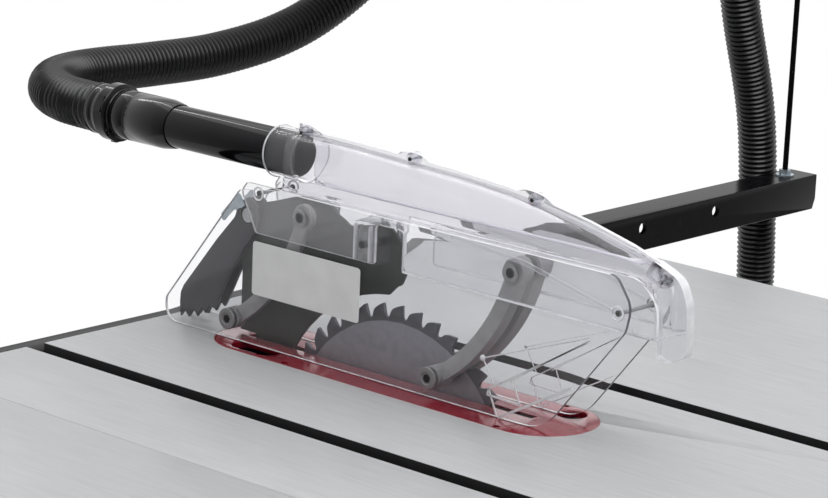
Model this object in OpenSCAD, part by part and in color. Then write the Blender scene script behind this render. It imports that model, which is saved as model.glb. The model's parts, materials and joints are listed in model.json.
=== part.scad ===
// Cabinet table saw with a clear blade guard, a dust tube and a hose.
// Millimetres, floor at Z 0, operator at -Y, operator's right at +X.

/* [Table] */
// Height of the table top above the floor
table_h = 864; // [840:1:900]
// Width of the main table casting
table_w = 508; // [504:1:540]
// Depth of the table from front to rear
table_d = 686; // [670:1:710]
// How far the table's middle sits in front of the cabinet's middle
table_shift = 20; // [15:1:25]
// Width of each side wing
wing_w = 254; // [200:1:300]
// Thickness of the table plates
plate_t = 12; // [11:0.5:14]
// Height of the rim round each casting
rim_h = 48; // [44:1:54]
// Thickness of the rims and ribs
rim_t = 14; // [10:1:16]
// Width of the mitre slots
slot_w = 19.05; // [18:0.05:20]
// Depth of the mitre slots
slot_d = 9.5; // [8:0.5:10]
// Distance of each mitre slot from the table's middle
slot_x = 136.5; // [132:0.5:142]

/* [Insert] */
// Width of the table insert
insert_w = 93; // [88:1:98]
// Length of the table insert
insert_l = 384; // [376:1:388]
// Thickness of the table insert
insert_t = 6; // [5:0.5:8]
// Width of the blade slot in the insert
kerf_slot = 8; // [7:0.5:9]

/* [Cabinet] */
// Width of the cabinet
cab_w = 500; // [496:1:504]
// Depth of the cabinet
cab_d = 560; // [556:1:580]
// Thickness of the cabinet's sheet steel
wall = 3; // [2:0.5:4]
// Height of the plinth
plinth_h = 80; // [60:1:100]
// Width of the plinth's rails
plinth_rail = 40; // [35:1:50]
// Radius of the anchor holes in the plinth
anchor_r = 6.5; // [5:0.5:8]
// Outside radius of the dust outlet at the rear
outlet_r = 50; // [45:1:55]

/* [Blade] */
// Distance of the blade from the table's middle
blade_x = 24; // [22:0.5:26]
// Distance of the arbor behind the cabinet's middle
arbor_y = 67; // [65:0.5:69]
// Blade diameter
blade_dia = 254; // [250:1:256]
// Height of the blade above the table
blade_rise = 59; // [56:0.5:60]
// Thickness of the blade
blade_t = 2.4; // [2:0.1:3]
// Number of teeth
teeth = 40; // [24:2:60]
// Arbor radius
arbor_r = 7.94; // [7.5:0.01:8.5]

/* [Guard] */
// Thickness of the spreader
knife_t = 2.5; // [2:0.1:3]
// Distance of the thin rear link arms from the blade's plane
arm_in = 11; // [10.8:0.1:11.4]
// Thickness of the rear link arms
arm_t = 6; // [5:0.1:6.4]
// Distance of the thick front link arms from the blade's plane
front_arm_in = 4; // [3.8:0.1:5]
// Distance of the hood's walls from the blade's plane
hood_in = 18; // [17.8:0.1:18.4]
// Thickness of the hood's walls
hood_t = 2.5; // [2:0.1:3]
// Distance of the side shields from the blade's plane
shield_in = 22; // [21.8:0.1:23]
// Thickness of the side shields
shield_t = 3; // [2:0.1:4]
// Radius of the link arm pins
pin_r = 4; // [3:0.1:4.5]
// Outside radius of the dust tube
tube_r = 18; // [17:0.1:18.4]
// Wall of the dust tube
tube_wall = 2; // [1.5:0.1:3]

/* [Rail and hose] */
// Width of both flanges of the angle rear rail
rail_w = 38.1; // [36:0.1:40]
// Thickness of the angle rear rail
rail_t = 5; // [4:0.5:6]
// Wall of the fence tube
rail_wall = 3; // [2:0.5:4]
// Drop of the rear rail below the table top
rail_drop = 9.5; // [6:0.5:12]
// How far the rails reach past the right wing
rail_past = 474; // [460:1:500]
// Radius of the spare bolt holes in the rear rail
rail_hole_r = 6; // [4:0.5:7]
// Radius of the hose support rod
rod_r = 3; // [2.5:0.1:4]
// Outside radius of the hose
hose_r = 20.5; // [19:0.1:20.6]

/* [Drive] */
// Radius of the arbor pulley
arbor_pulley_r = 32; // [30:0.5:34]
// Radius of the motor pulley
motor_pulley_r = 40; // [36:0.5:42]
// Radius of the motor
motor_r = 75; // [68:1:76]
// Radius of the handwheels
wheel_r = 90; // [75:1:95]
// Radius of the raise and tilt shafts
shaft_r = 9; // [8:0.1:9.5]

/* [Fits] */
// Clearance of running fits
fit_gap = 0.05; // [0.02:0.01:0.1]
// Gap between pieces that move past each other
part_gap = 0.3; // [0.3:0.05:0.5]

/* [Hidden] */
$fn = 64;
iron = [0.70, 0.71, 0.70];
paint = [0.78, 0.78, 0.75];
black = [0.06, 0.06, 0.06];
zinc = [0.70, 0.72, 0.74];
steel = [0.45, 0.46, 0.47];
dark = [0.13, 0.13, 0.13];
red = [0.62, 0.10, 0.14];
grey = [0.55, 0.56, 0.56];
clear = [0.86, 0.89, 0.90];

cab_top = table_h - rim_h;
cab_x = cab_w / 2;
cab_y = cab_d / 2;
table_front = -table_d / 2 - table_shift;
table_rear = table_d / 2 - table_shift;
right_end = table_w / 2 + wing_w;
anchor_x = cab_x - 12;
anchor_y = cab_y - 12;
outlet_z = plinth_h + 110;

// Blade centre, measured from the table top
blade_z = blade_rise - blade_dia / 2;
blade_r = blade_dia / 2;
rail_top = table_h - rail_drop;
rail_mid = rail_top - rail_w / 2;
rail_y = table_rear + rail_w / 2;
rail_end = right_end + rail_past;
front_rail_z = table_h - 73;
rod_x = rail_end - 34;
spare_hole_z = rail_top - 14.5;
rod_top = 1338;
rod_bend = 40;
hook_z = 1310;
hook_x = 770;
hook_y = 400;
arm_out = arm_in + arm_t;
shield_out = shield_in + shield_t;
pitch_r = 190;
tilt_drop = -227.5;
tilt_y = -120;
raise_drop = -320;
raise_x = -52;
raise_y = -36;
motor_z = blade_z - 165;
tube_z = 161;
hose_port_y = 210;
hose_port_z = 300;
hose_end_x = cab_x + 80;

// Link arm pivots and reach, measured from the blade's plane, arbor and table top
arm_reach = [74.2, -98.8];
arm_bow = 12;
rear_pivot = [96.6, 115.5];
front_pivot = [-125.8, 114.4];
pawl_pivot = [166, 103];
latch_pin = [27.8, 106.7];

// Hose route from the guard to the cabinet
hose_way = [
  [24, 426, 1025], [24, 440, 1025], [28, 475, 1025], [45, 512, 1025],
  [75, 542, 1025], [112, 560, 1024], [155, 566, 1023], [220, 568, 1021],
  [300, 566, 1022], [380, 560, 1034], [445, 553, 1059], [520, 540, 1110],
  [590, 512, 1180], [650, 468, 1252], [690, 434, 1290], [732, 407, 1307],
  [770, 400, 1310], [808, 394, 1300], [840, 388, 1265], [862, 386, 1215],
  [882, 385, 1140], [905, 385, 1038], [949, 385, 908], [965, 385, 772],
  [968, 385, 700], [965, 386, 640], [945, 385, 560], [905, 380, 480],
  [845, 370, 410], [770, 355, 350], [680, 330, 310], [590, 300, 290],
  [500, 265, 285], [420, 228, 294], [374, 212, 299], [345, 210, 300],
  [330, 210, 300]
];

function unit(v) = v / norm(v);
function near(c, a, b) = [c + a, c + b];
function arc(r, a0, a1, n) =
  [for (i = [0 : n]) r * [cos(a0 + (a1 - a0) * i / n), sin(a0 + (a1 - a0) * i / n)]];
function wedge(r, a0, a1) = concat([[0, 0]], arc(r, a0, a1, 6));
function shift(pts, d) = [for (p = pts) p + d];
function back(v) = [for (i = [len(v) - 1 : -1 : 0]) v[i]];

// Points of a closed outline with its corners rounded: each corner is [x, y, radius]
function bend(p, q, s, r) = let(
    u = unit(p - q),
    v = unit(s - q),
    half = acos(u * v) / 2,
    m = q + unit(u + v) * r / sin(half),
    e = q + u * r / tan(half) - m,
    f = q + v * r / tan(half) - m,
    a = atan2(e.y, e.x),
    b = atan2(f.y, f.x),
    d = (b - a + 540) % 360 - 180)
  [for (i = [0 : 6]) m + r * [cos(a + d * i / 6), sin(a + d * i / 6)]];
function flat(c) = [c[0], c[1]];
function rounded(c) = let(n = len(c))
  [for (i = [0 : n - 1])
    each c[i][2] == 0 ? [flat(c[i])]
      : bend(flat(c[(i + n - 1) % n]), flat(c[i]), flat(c[(i + 1) % n]), c[i][2])];

module block(x, y, z) {
  translate([x[0], y[0], z[0]]) cube([x[1] - x[0], y[1] - y[0], z[1] - z[0]]);
}
module plate_yz(x0, x1, pts) {
  translate([x0, 0, 0]) rotate([90, 0, 90]) linear_extrude(x1 - x0) polygon(pts);
}
module plate_xz(y0, y1, pts) {
  translate([0, y1, 0]) rotate([90, 0, 0]) linear_extrude(y1 - y0) polygon(pts);
}
module xrod(x0, x1, r, y = 0, z = 0) {
  translate([x0, y, z]) rotate([0, 90, 0]) cylinder(h = x1 - x0, r = r);
}
module yrod(y0, y1, r, x = 0, z = 0) {
  translate([x, y1, z]) rotate([90, 0, 0]) cylinder(h = y1 - y0, r = r);
}
module hex_z(z0, z1, across) {
  translate([0, 0, z0]) cylinder(h = z1 - z0, r = across / 2 / cos(30), $fn = 6);
}
module track(w, l) {
  square([w, l - w], center = true);
  for (s = [-1, 1]) translate([0, s * (l - w) / 2]) circle(r = w / 2);
}
module sector(y0, y1, r0, r1, a0, a1) {
  intersection() {
    difference() {
      yrod(y0, y1, r1);
      yrod(y0 - 1, y1 + 1, r0);
    }
    plate_xz(y0 - 1, y1 + 1, wedge(r1 * 1.6, a0, a1));
  }
}
module saw_frame() {
  translate([blade_x, 0, table_h]) children();
}
module guard_frame() {
  translate([blade_x, arbor_y, table_h]) children();
}
module sided(s) {
  if (s < 0) mirror([1, 0, 0]) children();
  else children();
}

// Cabinet

module plinth() color(dark) {
  x = cab_x + 10;
  y = cab_y + 10;
  difference() {
    block([-x, x], [-y, y], [0, plinth_h]);
    block([plinth_rail - x, x - plinth_rail], [plinth_rail - y, y - plinth_rail], [4, plinth_h + 1]);
    for (sx = [-1, 1], sy = [-1, 1])
      translate([sx * anchor_x, sy * anchor_y, -1]) cylinder(r = anchor_r, h = plinth_h + 2);
  }
}

module cabinet_shell() color(paint) {
  difference() {
    union() {
      difference() {
        block([-cab_x, cab_x], [-cab_y, cab_y], [plinth_h, cab_top]);
        block([wall - cab_x, cab_x - wall], [wall - cab_y, cab_y - wall], [plinth_h - 1, cab_top + 1]);
      }
      for (s = [-1, 1])
        block([-cab_x, cab_x], near(s * (cab_y - 12.5), -12.5, 12.5), [cab_top - 5, cab_top]);
      // Sleeve for the tilt shaft
      xrod(cab_x - 10, cab_x + 12, shaft_r + 7, tilt_y, table_h + tilt_drop);
    }
    xrod(cab_x - 20, cab_x + 20, shaft_r + fit_gap, tilt_y, table_h + tilt_drop);
    // Arc slot for the raise shaft
    saw_frame() sector(-cab_y - 5, -cab_y + 10, 324.2 - 14, 324.2 + 14, -101.8, -51.6);
    // Door opening, dust outlet, hose port and cable hole
    block([-cab_x - 5, -cab_x + 10], [-140, 200], [210, 600]);
    yrod(cab_y - 10, cab_y + 5, outlet_r - 3.5, 0, outlet_z);
    xrod(cab_x - 10, cab_x + 5, 14.5, hose_port_y, hose_port_z);
    yrod(cab_y - 10, cab_y + 5, 9, -180, 150);
    for (sx = [-1, 1], sy = [-1, 1])
      translate([sx * 200, sy * (cab_y - 13), cab_top - 10]) cylinder(r = 4 + fit_gap, h = 20);
  }
}

module dust_port() color(dark) {
  difference() {
    union() {
      block([-65, 65], [cab_y, cab_y + 4], [outlet_z - 65, outlet_z + 65]);
      yrod(cab_y + 3, cab_y + 61, outlet_r, 0, outlet_z);
    }
    yrod(cab_y - 1, cab_y + 62, outlet_r - 3.5, 0, outlet_z);
  }
}

module casting(x0, x1) {
  difference() {
    block([x0, x1], [table_front, table_rear], [cab_top, table_h]);
    block([x0 + rim_t, x1 - rim_t], [table_front + rim_t, table_rear - rim_t],
      [cab_top - 1, table_h - plate_t]);
  }
}

// Holes or shanks of the bolts that join the wings to the main table
wing_bolt_y = [-220, -20, 180];
module wing_bolt_rods(r) {
  for (s = [-1, 1], y = wing_bolt_y)
    xrod(s * table_w / 2 - rim_t - 9, s * table_w / 2 + rim_t + 9, r, y, table_h - 30);
}
rear_bolt_x = [-420, -180, 180, 420];
module rail_bolt_rods(r, more) {
  for (x = rear_bolt_x) {
    yrod(table_rear - rim_t - 9 - more, table_rear + rail_t + more, r, x, rail_mid);
    yrod(table_front - 6 - more, table_front + rim_t + 9 + more, r, x, front_rail_z + 32);
  }
}
module cabinet_bolt_rods(r) {
  for (sx = [-1, 1], sy = [-1, 1])
    translate([sx * 200, sy * (cab_y - 13), cab_top - 6]) cylinder(r = r, h = 28);
}

module main_table() color(iron) {
  difference() {
    union() {
      casting(-table_w / 2, table_w / 2);
      for (s = [-1, 1])
        block([-table_w / 2 + 1, table_w / 2 - 1], near(s * (cab_y - 13), -13, 13), [cab_top, table_h - 1]);
      for (s = [-1, 1])
        block(near(s * slot_x, -20, 20), [table_front + 1, table_rear - 1],
          [table_h - slot_d - 12, table_h - 1]);
    }
    for (s = [-1, 1])
      block(near(s * slot_x, -slot_w / 2, slot_w / 2), [table_front - 1, table_rear + 1],
        [table_h - slot_d, table_h + 1]);
    guard_frame() translate([0, 0, -insert_t]) linear_extrude(insert_t + 1)
      track(insert_w + 0.6, insert_l + 0.6);
    guard_frame() translate([0, 0, -40]) linear_extrude(50) track(insert_w - 14, insert_l - 14);
    wing_bolt_rods(5 + fit_gap);
    rail_bolt_rods(5 + fit_gap, 1);
    // Room for the nuts of the rear rail where the ribs come close
    for (x = rear_bolt_x) translate([x, table_rear - rim_t, rail_mid]) rotate([90, 0, 0]) hex_z(0, 10, 18);
    cabinet_bolt_rods(4 + fit_gap);
  }
}

module wing(x0) {
  difference() {
    union() {
      casting(x0, x0 + wing_w);
      for (y = [-120, 80])
        block([x0 + 1, x0 + wing_w - 1], near(y, -rim_t / 2, rim_t / 2), [cab_top + 6, table_h - 1]);
    }
    wing_bolt_rods(5 + fit_gap);
    rail_bolt_rods(5 + fit_gap, 1);
  }
}
module left_wing() color(iron) wing(-table_w / 2 - wing_w);
module right_wing() color(iron) wing(table_w / 2);

// Wing bolts, rail bolts, cabinet bolts and the nuts of the support rod
module frame_bolts() color(zinc) {
  wing_bolt_rods(5);
  for (s = [-1, 1], y = wing_bolt_y) translate([s * table_w / 2, y, table_h - 30]) rotate([0, 90, 0]) {
    hex_z(rim_t, rim_t + 7, 16);
    hex_z(-rim_t - 7, -rim_t, 16);
  }
  rail_bolt_rods(5, 0);
  for (x = rear_bolt_x) {
    translate([x, table_rear + rail_t, rail_mid]) rotate([-90, 0, 0]) hex_z(0, 6, 16);
    translate([x, table_rear - rim_t, rail_mid]) rotate([90, 0, 0]) hex_z(0, 8, 16);
    translate([x, table_front + rim_t, front_rail_z + 32]) rotate([-90, 0, 0]) hex_z(0, 8, 16);
  }
  cabinet_bolt_rods(4);
  for (sx = [-1, 1], sy = [-1, 1])
    translate([sx * 200, sy * (cab_y - 13), cab_top - 5]) hex_z(-6, 0, 13);
  difference() {
    translate([rod_x, rail_y, 0]) {
      for (z = [rail_top, rail_top - rail_t - 1.6]) translate([0, 0, z]) cylinder(r = 10, h = 1.6);
      hex_z(rail_top + 1.6, rail_top + 7, 11);
      hex_z(rail_top - rail_t - 7, rail_top - rail_t - 1.6, 11);
    }
    translate([rod_x, rail_y, rail_top - 60]) cylinder(r = rod_r + fit_gap, h = 100);
  }
}

module table_insert() color(red) {
  guard_frame() difference() {
    translate([0, 0, -insert_t]) linear_extrude(insert_t) track(insert_w, insert_l);
    // Blade slot, relieved underneath on the right for the tilted blade
    plate_xz(-140, 166, [[-kerf_slot / 2, 1], [kerf_slot / 2, 1], [kerf_slot / 2, -1],
      [kerf_slot / 2 + 9, -insert_t - 1], [-kerf_slot / 2, -insert_t - 1]]);
    // Finger holes at the front and the rear
    translate([27.5, -155, -insert_t - 1]) cylinder(r = 12, h = insert_t + 2);
    translate([-29, 133, -insert_t - 1]) linear_extrude(insert_t + 2) track(22, 48);
    for (p = insert_screw_at)
      translate([p.x, p.y, -insert_t - 1]) cylinder(r = 3 + fit_gap, h = insert_t + 2);
  }
}
insert_screw_at = [[-42, -137], [42, -137], [-42, 88], [42, 88]];
module insert_screws() color(dark) {
  guard_frame() for (p = insert_screw_at) translate([p.x, p.y, -insert_t]) difference() {
    cylinder(r = 3, h = insert_t - 1.5);
    hex_z(insert_t - 4, insert_t, 3);
  }
}

// Rails

module rear_rail() color(black) {
  difference() {
    union() {
      block([-right_end, rail_end], [table_rear, table_rear + rail_t], [rail_top - rail_w, rail_top]);
      block([-right_end, rail_end], [table_rear, table_rear + rail_w], [rail_top - rail_t, rail_top]);
    }
    rail_bolt_rods(5 + fit_gap, 1);
    for (x = [right_end + 166, right_end + 290])
      yrod(table_rear - 1, table_rear + rail_t + 1, rail_hole_r, x, spare_hole_z);
    // Clipped lower corner at the far end
    translate([rail_end, table_rear + rail_t + 1, rail_top - rail_w]) rotate([90, 0, 0])
      linear_extrude(rail_t + 2) polygon([[-5, -1], [1, -1], [1, 14]]);
    translate([rod_x, rail_y, rail_top - 60]) cylinder(r = rod_r + fit_gap, h = 100);
  }
}

module front_rail() color(black) {
  difference() {
    union() {
      block([-right_end, rail_end], [table_front - 6, table_front], [front_rail_z, front_rail_z + 63]);
      block([-right_end, rail_end], [table_front - 63, table_front], [front_rail_z, front_rail_z + 6]);
    }
    rail_bolt_rods(5 + fit_gap, 1);
  }
}

module fence_tube() color(paint) {
  y = [table_front - 63, table_front - 6];
  z = [front_rail_z + 6, front_rail_z + 57];
  difference() {
    block([-right_end, rail_end], y, z);
    block([-right_end - 1, rail_end + 1], y + [rail_wall, -rail_wall], z + [rail_wall, -rail_wall]);
  }
}

// Plastic caps in the ends of the fence tube
module tube_caps() color(black) {
  for (s = [-1, 1]) translate([s > 0 ? rail_end : -right_end, 0, 0]) sided(s) {
    block([0, 4], [table_front - 63, table_front - 6], [front_rail_z + 6, front_rail_z + 57]);
    block([-12, 1], [table_front - 63 + rail_wall, table_front - 6 - rail_wall],
      [front_rail_z + 6 + rail_wall, front_rail_z + 57 - rail_wall]);
  }
}

// Hose and its supports

rod_turn = atan2(hook_y - rail_y, hook_x - rod_x);
rod_far = norm([hook_x - rod_x, hook_y - rail_y]);
module support_rod() color(black) {
  translate([rod_x, rail_y, 0]) rotate([0, 0, rod_turn]) {
    translate([0, 0, rail_top - rail_t - 10])
      cylinder(r = rod_r, h = rod_top - rod_bend - rail_top + rail_t + 10);
    translate([rod_bend, 0, rod_top - rod_bend]) rotate([90, 0, 0]) rotate([0, 0, 90])
      rotate_extrude(angle = 90) translate([rod_bend, 0]) circle(r = rod_r);
    xrod(rod_bend, rod_far + 4, rod_r, 0, rod_top);
  }
}

module hose_hook() color(black) {
  difference() {
    union() {
      xrod(hook_x - 6, hook_x + 6, hose_r + 5, hook_y, hook_z);
      block(near(hook_x, -6, 6), near(hook_y, -8, 8), [hook_z + hose_r + 2, rod_top + 7]);
    }
    xrod(hook_x - 10, hook_x + 10, hose_r + 1.5, hook_y, hook_z);
    translate([rod_x, rail_y, 0]) rotate([0, 0, rod_turn]) xrod(rod_bend, rod_far + 4, rod_r, 0, rod_top);
  }
}

// The route is smoothed once between its points, then a round tube follows it
function mid(p, i) = (p[i] + p[i + 1]) * 9 / 16 - (p[max(i - 1, 0)] + p[min(i + 2, len(p) - 1)]) / 16;
function smooth(p) = [
  for (i = [0 : len(p) - 2]) each (i == 0 || i == len(p) - 2 ? [p[i]] : [p[i], mid(p, i)]),
  p[len(p) - 1]];
function heading(p, i) = unit(p[min(i + 1, len(p) - 1)] - p[max(i - 1, 0)]);
function square_to(n, t) = unit(n - (n * t) * t);
function frames(p) = [for (i = 0, n = [0, 0, 1]; i < len(p);
  n = square_to(n, heading(p, min(i + 1, len(p) - 1))), i = i + 1) n];
function ring_at(c, t, n, r) = [for (k = [0 : 11]) c + r * (cos(30 * k) * n + sin(30 * k) * cross(t, n))];
module tube_along(p, r) {
  f = frames(p);
  m = len(p);
  pts = [for (i = [0 : m - 1]) each ring_at(p[i], heading(p, i), f[i], r)];
  sides = [for (i = [0 : m - 2], k = [0 : 11])
    each [[12 * i + k, 12 * i + 12 + k, 12 * i + (k + 1) % 12],
      [12 * i + 12 + k, 12 * i + 12 + (k + 1) % 12, 12 * i + (k + 1) % 12]]];
  polyhedron(pts, concat(sides, [[for (k = [0 : 11]) k]], [[for (k = [11 : -1 : 0]) 12 * (m - 1) + k]]));
}
module hose() color(black) tube_along(smooth(hose_way), hose_r);

module hose_port() color(dark) {
  difference() {
    union() {
      xrod(cab_x, cab_x + 4, 32, hose_port_y, hose_port_z);
      xrod(cab_x + 3, cab_x + 60, 17, hose_port_y, hose_port_z);
    }
    xrod(cab_x - 1, cab_x + 61, 14.5, hose_port_y, hose_port_z);
  }
}
module hose_end_cuff() color(black) {
  difference() {
    union() {
      xrod(cab_x + 25, hose_end_x, hose_r + 1.5, hose_port_y, hose_port_z);
      xrod(cab_x + 25, cab_x + 37, hose_r + 4, hose_port_y, hose_port_z);
    }
    xrod(cab_x + 24, cab_x + 60, 17 + fit_gap, hose_port_y, hose_port_z);
    xrod(cab_x + 59, hose_end_x + 1, 15, hose_port_y, hose_port_z);
  }
}

// Door, switch and cable gland

door_pin_x = -cab_x - 9;
door_pin_y = cab_y - 66;
door_low = plinth_h + 115;
door_top = table_h - 249;
door_mid = (door_low + door_top) / 2;
knuckles = [near(door_low, 55, 115), near(door_top, -115, -55)];
module motor_door() color(paint) {
  x = [-cab_x - 16, -cab_x - part_gap];
  difference() {
    block(x, [124 - cab_y, door_pin_y - 8], [door_low, door_top]);
    block(x + [3, 1], [127 - cab_y, door_pin_y - 11], [door_low + 3, door_top - 3]);
  }
  // Turn knob and its stem
  xrod(-cab_x - 44, -cab_x - 30, 17, 160 - cab_y, door_mid);
  xrod(-cab_x - 31, -cab_x - 15, 7, 160 - cab_y, door_mid);
  for (k = knuckles) difference() {
    union() {
      translate([door_pin_x, door_pin_y, k[0] + 20 + part_gap]) cylinder(r = 6, h = 20 - 2 * part_gap);
      block([door_pin_x - 6, door_pin_x], [door_pin_y - 10, door_pin_y],
        [k[0] + 20 + part_gap, k[0] + 40 - part_gap]);
    }
    translate([door_pin_x, door_pin_y, k[0]]) cylinder(r = 3.5 + fit_gap, h = 60);
  }
}
module door_hinges() color(zinc) {
  for (k = knuckles) {
    for (z = [k[0], k[0] + 40]) {
      translate([door_pin_x, door_pin_y, z]) cylinder(r = 6, h = 20);
      block([door_pin_x, -cab_x], [door_pin_y - 3, door_pin_y + 6], [z, z + 20]);
    }
    block([-cab_x - 3, -cab_x], [door_pin_y + 6, door_pin_y + 30], [k[0], k[1]]);
    translate([door_pin_x, door_pin_y, k[0]]) cylinder(r = 3.5, h = 60);
  }
}

switch_x = -195;
switch_top = table_h - 79;
button_z = switch_top - 45;
paddle_z = switch_top - 13;
paddle_y = -cab_y - 70;
module switch_box() color(dark) {
  difference() {
    union() {
      block(near(switch_x, -45, 45), [-cab_y - 60, -cab_y], [switch_top - 140, switch_top]);
      for (s = [-1, 1])
        block(near(switch_x + s * 42.75, -2.25, 2.25), [paddle_y - 6, -cab_y - 59], near(paddle_z, -8, 8));
      xrod(switch_x - 42, switch_x + 42, 3, paddle_y, paddle_z);
    }
    block(near(switch_x, -42, 42), [-cab_y - 57, -cab_y + 1], [switch_top - 137, switch_top - 3]);
    yrod(-cab_y - 61, -cab_y - 50, 11 + part_gap, switch_x, button_z);
  }
  // Seat that the start button's spring rests on
  block(near(switch_x, -43, 43), [-cab_y - 40, -cab_y - 37], near(button_z, -12, 12));
}
module start_button() color([0.1, 0.45, 0.2]) {
  yrod(-cab_y - 72, -cab_y - 54, 11, switch_x, button_z);
  yrod(-cab_y - 57 + part_gap, -cab_y - 53, 14, switch_x, button_z);
  yrod(-cab_y - 53, -cab_y - 45, 6, switch_x, button_z);
}
module stop_paddle() color(red) {
  difference() {
    union() {
      block(near(switch_x, -38, 38), [paddle_y - 4, paddle_y + 2], [switch_top - 130, paddle_z]);
      xrod(switch_x - 38, switch_x + 38, 6, paddle_y, paddle_z);
    }
    xrod(switch_x - 50, switch_x + 50, 3 + fit_gap, paddle_y, paddle_z);
    yrod(paddle_y - 10, paddle_y + 10, 15, switch_x, button_z);
  }
}
module cable_gland() color(black) {
  difference() {
    union() {
      yrod(cab_y - 3, cab_y + 1, 9 - fit_gap, -180, 150);
      translate([-180, cab_y, 150]) rotate([-90, 0, 0]) hex_z(0, 7, 26);
      yrod(cab_y + 6, cab_y + 24, 11, -180, 150);
    }
    yrod(cab_y - 4, cab_y + 25, 5, -180, 150);
  }
}

// Trunnions and cradle

// Outer side of the feet, just inside the rim that is nearer the blade
foot_x = table_w / 2 - rim_t - blade_x - 1;
module bracket(y0, y1) {
  saw_frame() {
    sector(y0, y1, pitch_r + part_gap, pitch_r + 25, -165, -15);
    for (s = [-1, 1])
      block(near(s * (foot_x - 14), -14, 14), [y0, y1], [-70, -plate_t]);
  }
}
module front_trunnion() color(steel) {
  bracket(-110, -88);
  // Bearing for the end of the worm
  saw_frame() difference() {
    union() {
      block([-56, -36], [-134, -88], [tilt_drop - 22, -217]);
      block([-56, -36], [-110, -88], [-218, -205]);
    }
    xrod(-70, -30, shaft_r + fit_gap, tilt_y, tilt_drop);
  }
}
module rear_trunnion() color(steel) bracket(232, 254);

module cradle_frame() color(steel) {
  saw_frame() difference() {
    union() {
      sector(-110, -72, 130, pitch_r - 1, -140, -62);
      sector(-110, -88, 130, pitch_r, -140, -62);
      sector(214, 254, 130, pitch_r - 1, -140, -62);
      sector(232, 254, 130, pitch_r, -140, -62);
      block([-128, -98], [-100, 250], [-134, -108]);
      block([45, 75], [-100, 250], [-165, -134]);
      // Toothed sector for the worm
      difference() {
        sector(-126, -112, 170, 215, -141, -82);
        for (a = [-138 : 3 : -84]) rotate([0, -a, 0]) translate([212, -130, -1.6]) cube([6, 20, 3.2]);
      }
      sector(-113, -109, 170, pitch_r - 1, -140, -82);
      // Way for the arbor carriage, its upper tie and the two screw brackets
      block([-58, -34], [-74, -54], [-245, -36]);
      block([-74, -30], [-86, -72], [-335, -120]);
      block([-74, -34], [-86, -24], [-296, -284]);
      block([-70, -34], [-86, -54], [-52, -36]);
      block([-70, -40], [-86, -72], [-125, -36]);
      // Seat for the spreader
      block([-25, -knife_t / 2], [206, 232], [-150, -52]);
      block([-25, -knife_t / 2], [206, 240], [-150, -126]);
    }
    yrod(-90, -70, shaft_r + fit_gap, raise_x, raise_drop);
    translate([raise_x, raise_y, -300]) cylinder(r = 8 + fit_gap, h = 20);
    for (z = [-110, -75]) xrod(-26, 1, 4 + fit_gap, 216, z);
  }
}

// Tilt gear

module handwheel() {
  rotate_extrude() translate([wheel_r - 8, 0]) circle(r = 8);
  difference() {
    translate([0, 0, -12]) cylinder(r = 20, h = 26);
    translate([0, 0, -13]) cylinder(r = shaft_r, h = 22);
  }
  difference() {
    for (a = [0, 120, 240]) rotate([0, 0, a]) block([16, wheel_r - 8], [-8, 8], [-4, 4]);
    translate([0, 0, -13]) cylinder(r = shaft_r, h = 22);
  }
  translate([wheel_r - 16, 0, -3]) cylinder(r = 11, h = 14);
  translate([wheel_r - 16, 0, 10]) cylinder(r = 5, h = 44);
  translate([wheel_r - 16, 0, 52]) cylinder(r = 8, h = 4);
}
module crank_knob() {
  translate([wheel_r - 16, 0, 11 + part_gap]) difference() {
    rotate_extrude()
      polygon(concat([[0, 0]], [for (i = [0 : 8]) [10 + 3 * sin(22.5 * i), 5 * i]], [[0, 40]]));
    translate([0, 0, -1]) cylinder(r = 5 + fit_gap, h = 60);
  }
}
module at_tilt_wheel() {
  translate([cab_x + 54, tilt_y, table_h + tilt_drop]) rotate([0, 90, 0]) children();
}
module tilt_wheel() color(dark) at_tilt_wheel() handwheel();
module tilt_knob() color(black) at_tilt_wheel() crank_knob();
module tilt_shaft() color(steel) {
  xrod(blade_x - 56, cab_x + 63, shaft_r, tilt_y, table_h + tilt_drop);
  xrod(blade_x - 35, blade_x + 35, 12, tilt_y, table_h + tilt_drop);
  xrod(cab_x - 22, cab_x - 10 - part_gap, 14, tilt_y, table_h + tilt_drop);
}

// Raise gear

module at_raise_wheel() {
  translate([blade_x + raise_x, -cab_y - 40, table_h + raise_drop]) rotate([90, 0, 0]) children();
}
module raise_wheel() color(dark) at_raise_wheel() handwheel();
module raise_knob() color(black) at_raise_wheel() crank_knob();
module raise_shaft() color(steel) {
  saw_frame() {
    yrod(-cab_y - 49, raise_y - 20, shaft_r, raise_x, raise_drop);
    yrod(-100, -86 - part_gap, 14, raise_x, raise_drop);
    translate([raise_x, raise_y - 20.5, raise_drop]) rotate([-90, 0, 0]) cylinder(r1 = 18, r2 = 10, h = 8);
    yrod(raise_y - 28, raise_y - 20.5, 18, raise_x, raise_drop);
  }
}
module raise_screw() color(steel) {
  saw_frame() translate([raise_x, raise_y, 0]) {
    translate([0, 0, -300]) cylinder(r = 8, h = 240);
    translate([0, 0, -284 + part_gap]) cylinder(r = 12, h = 8);
    translate([0, 0, -304]) cylinder(r = 18, h = 8 - part_gap);
    translate([0, 0, -312]) cylinder(r1 = 10, r2 = 18, h = 8);
  }
}

// Arbor carriage and drive

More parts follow.
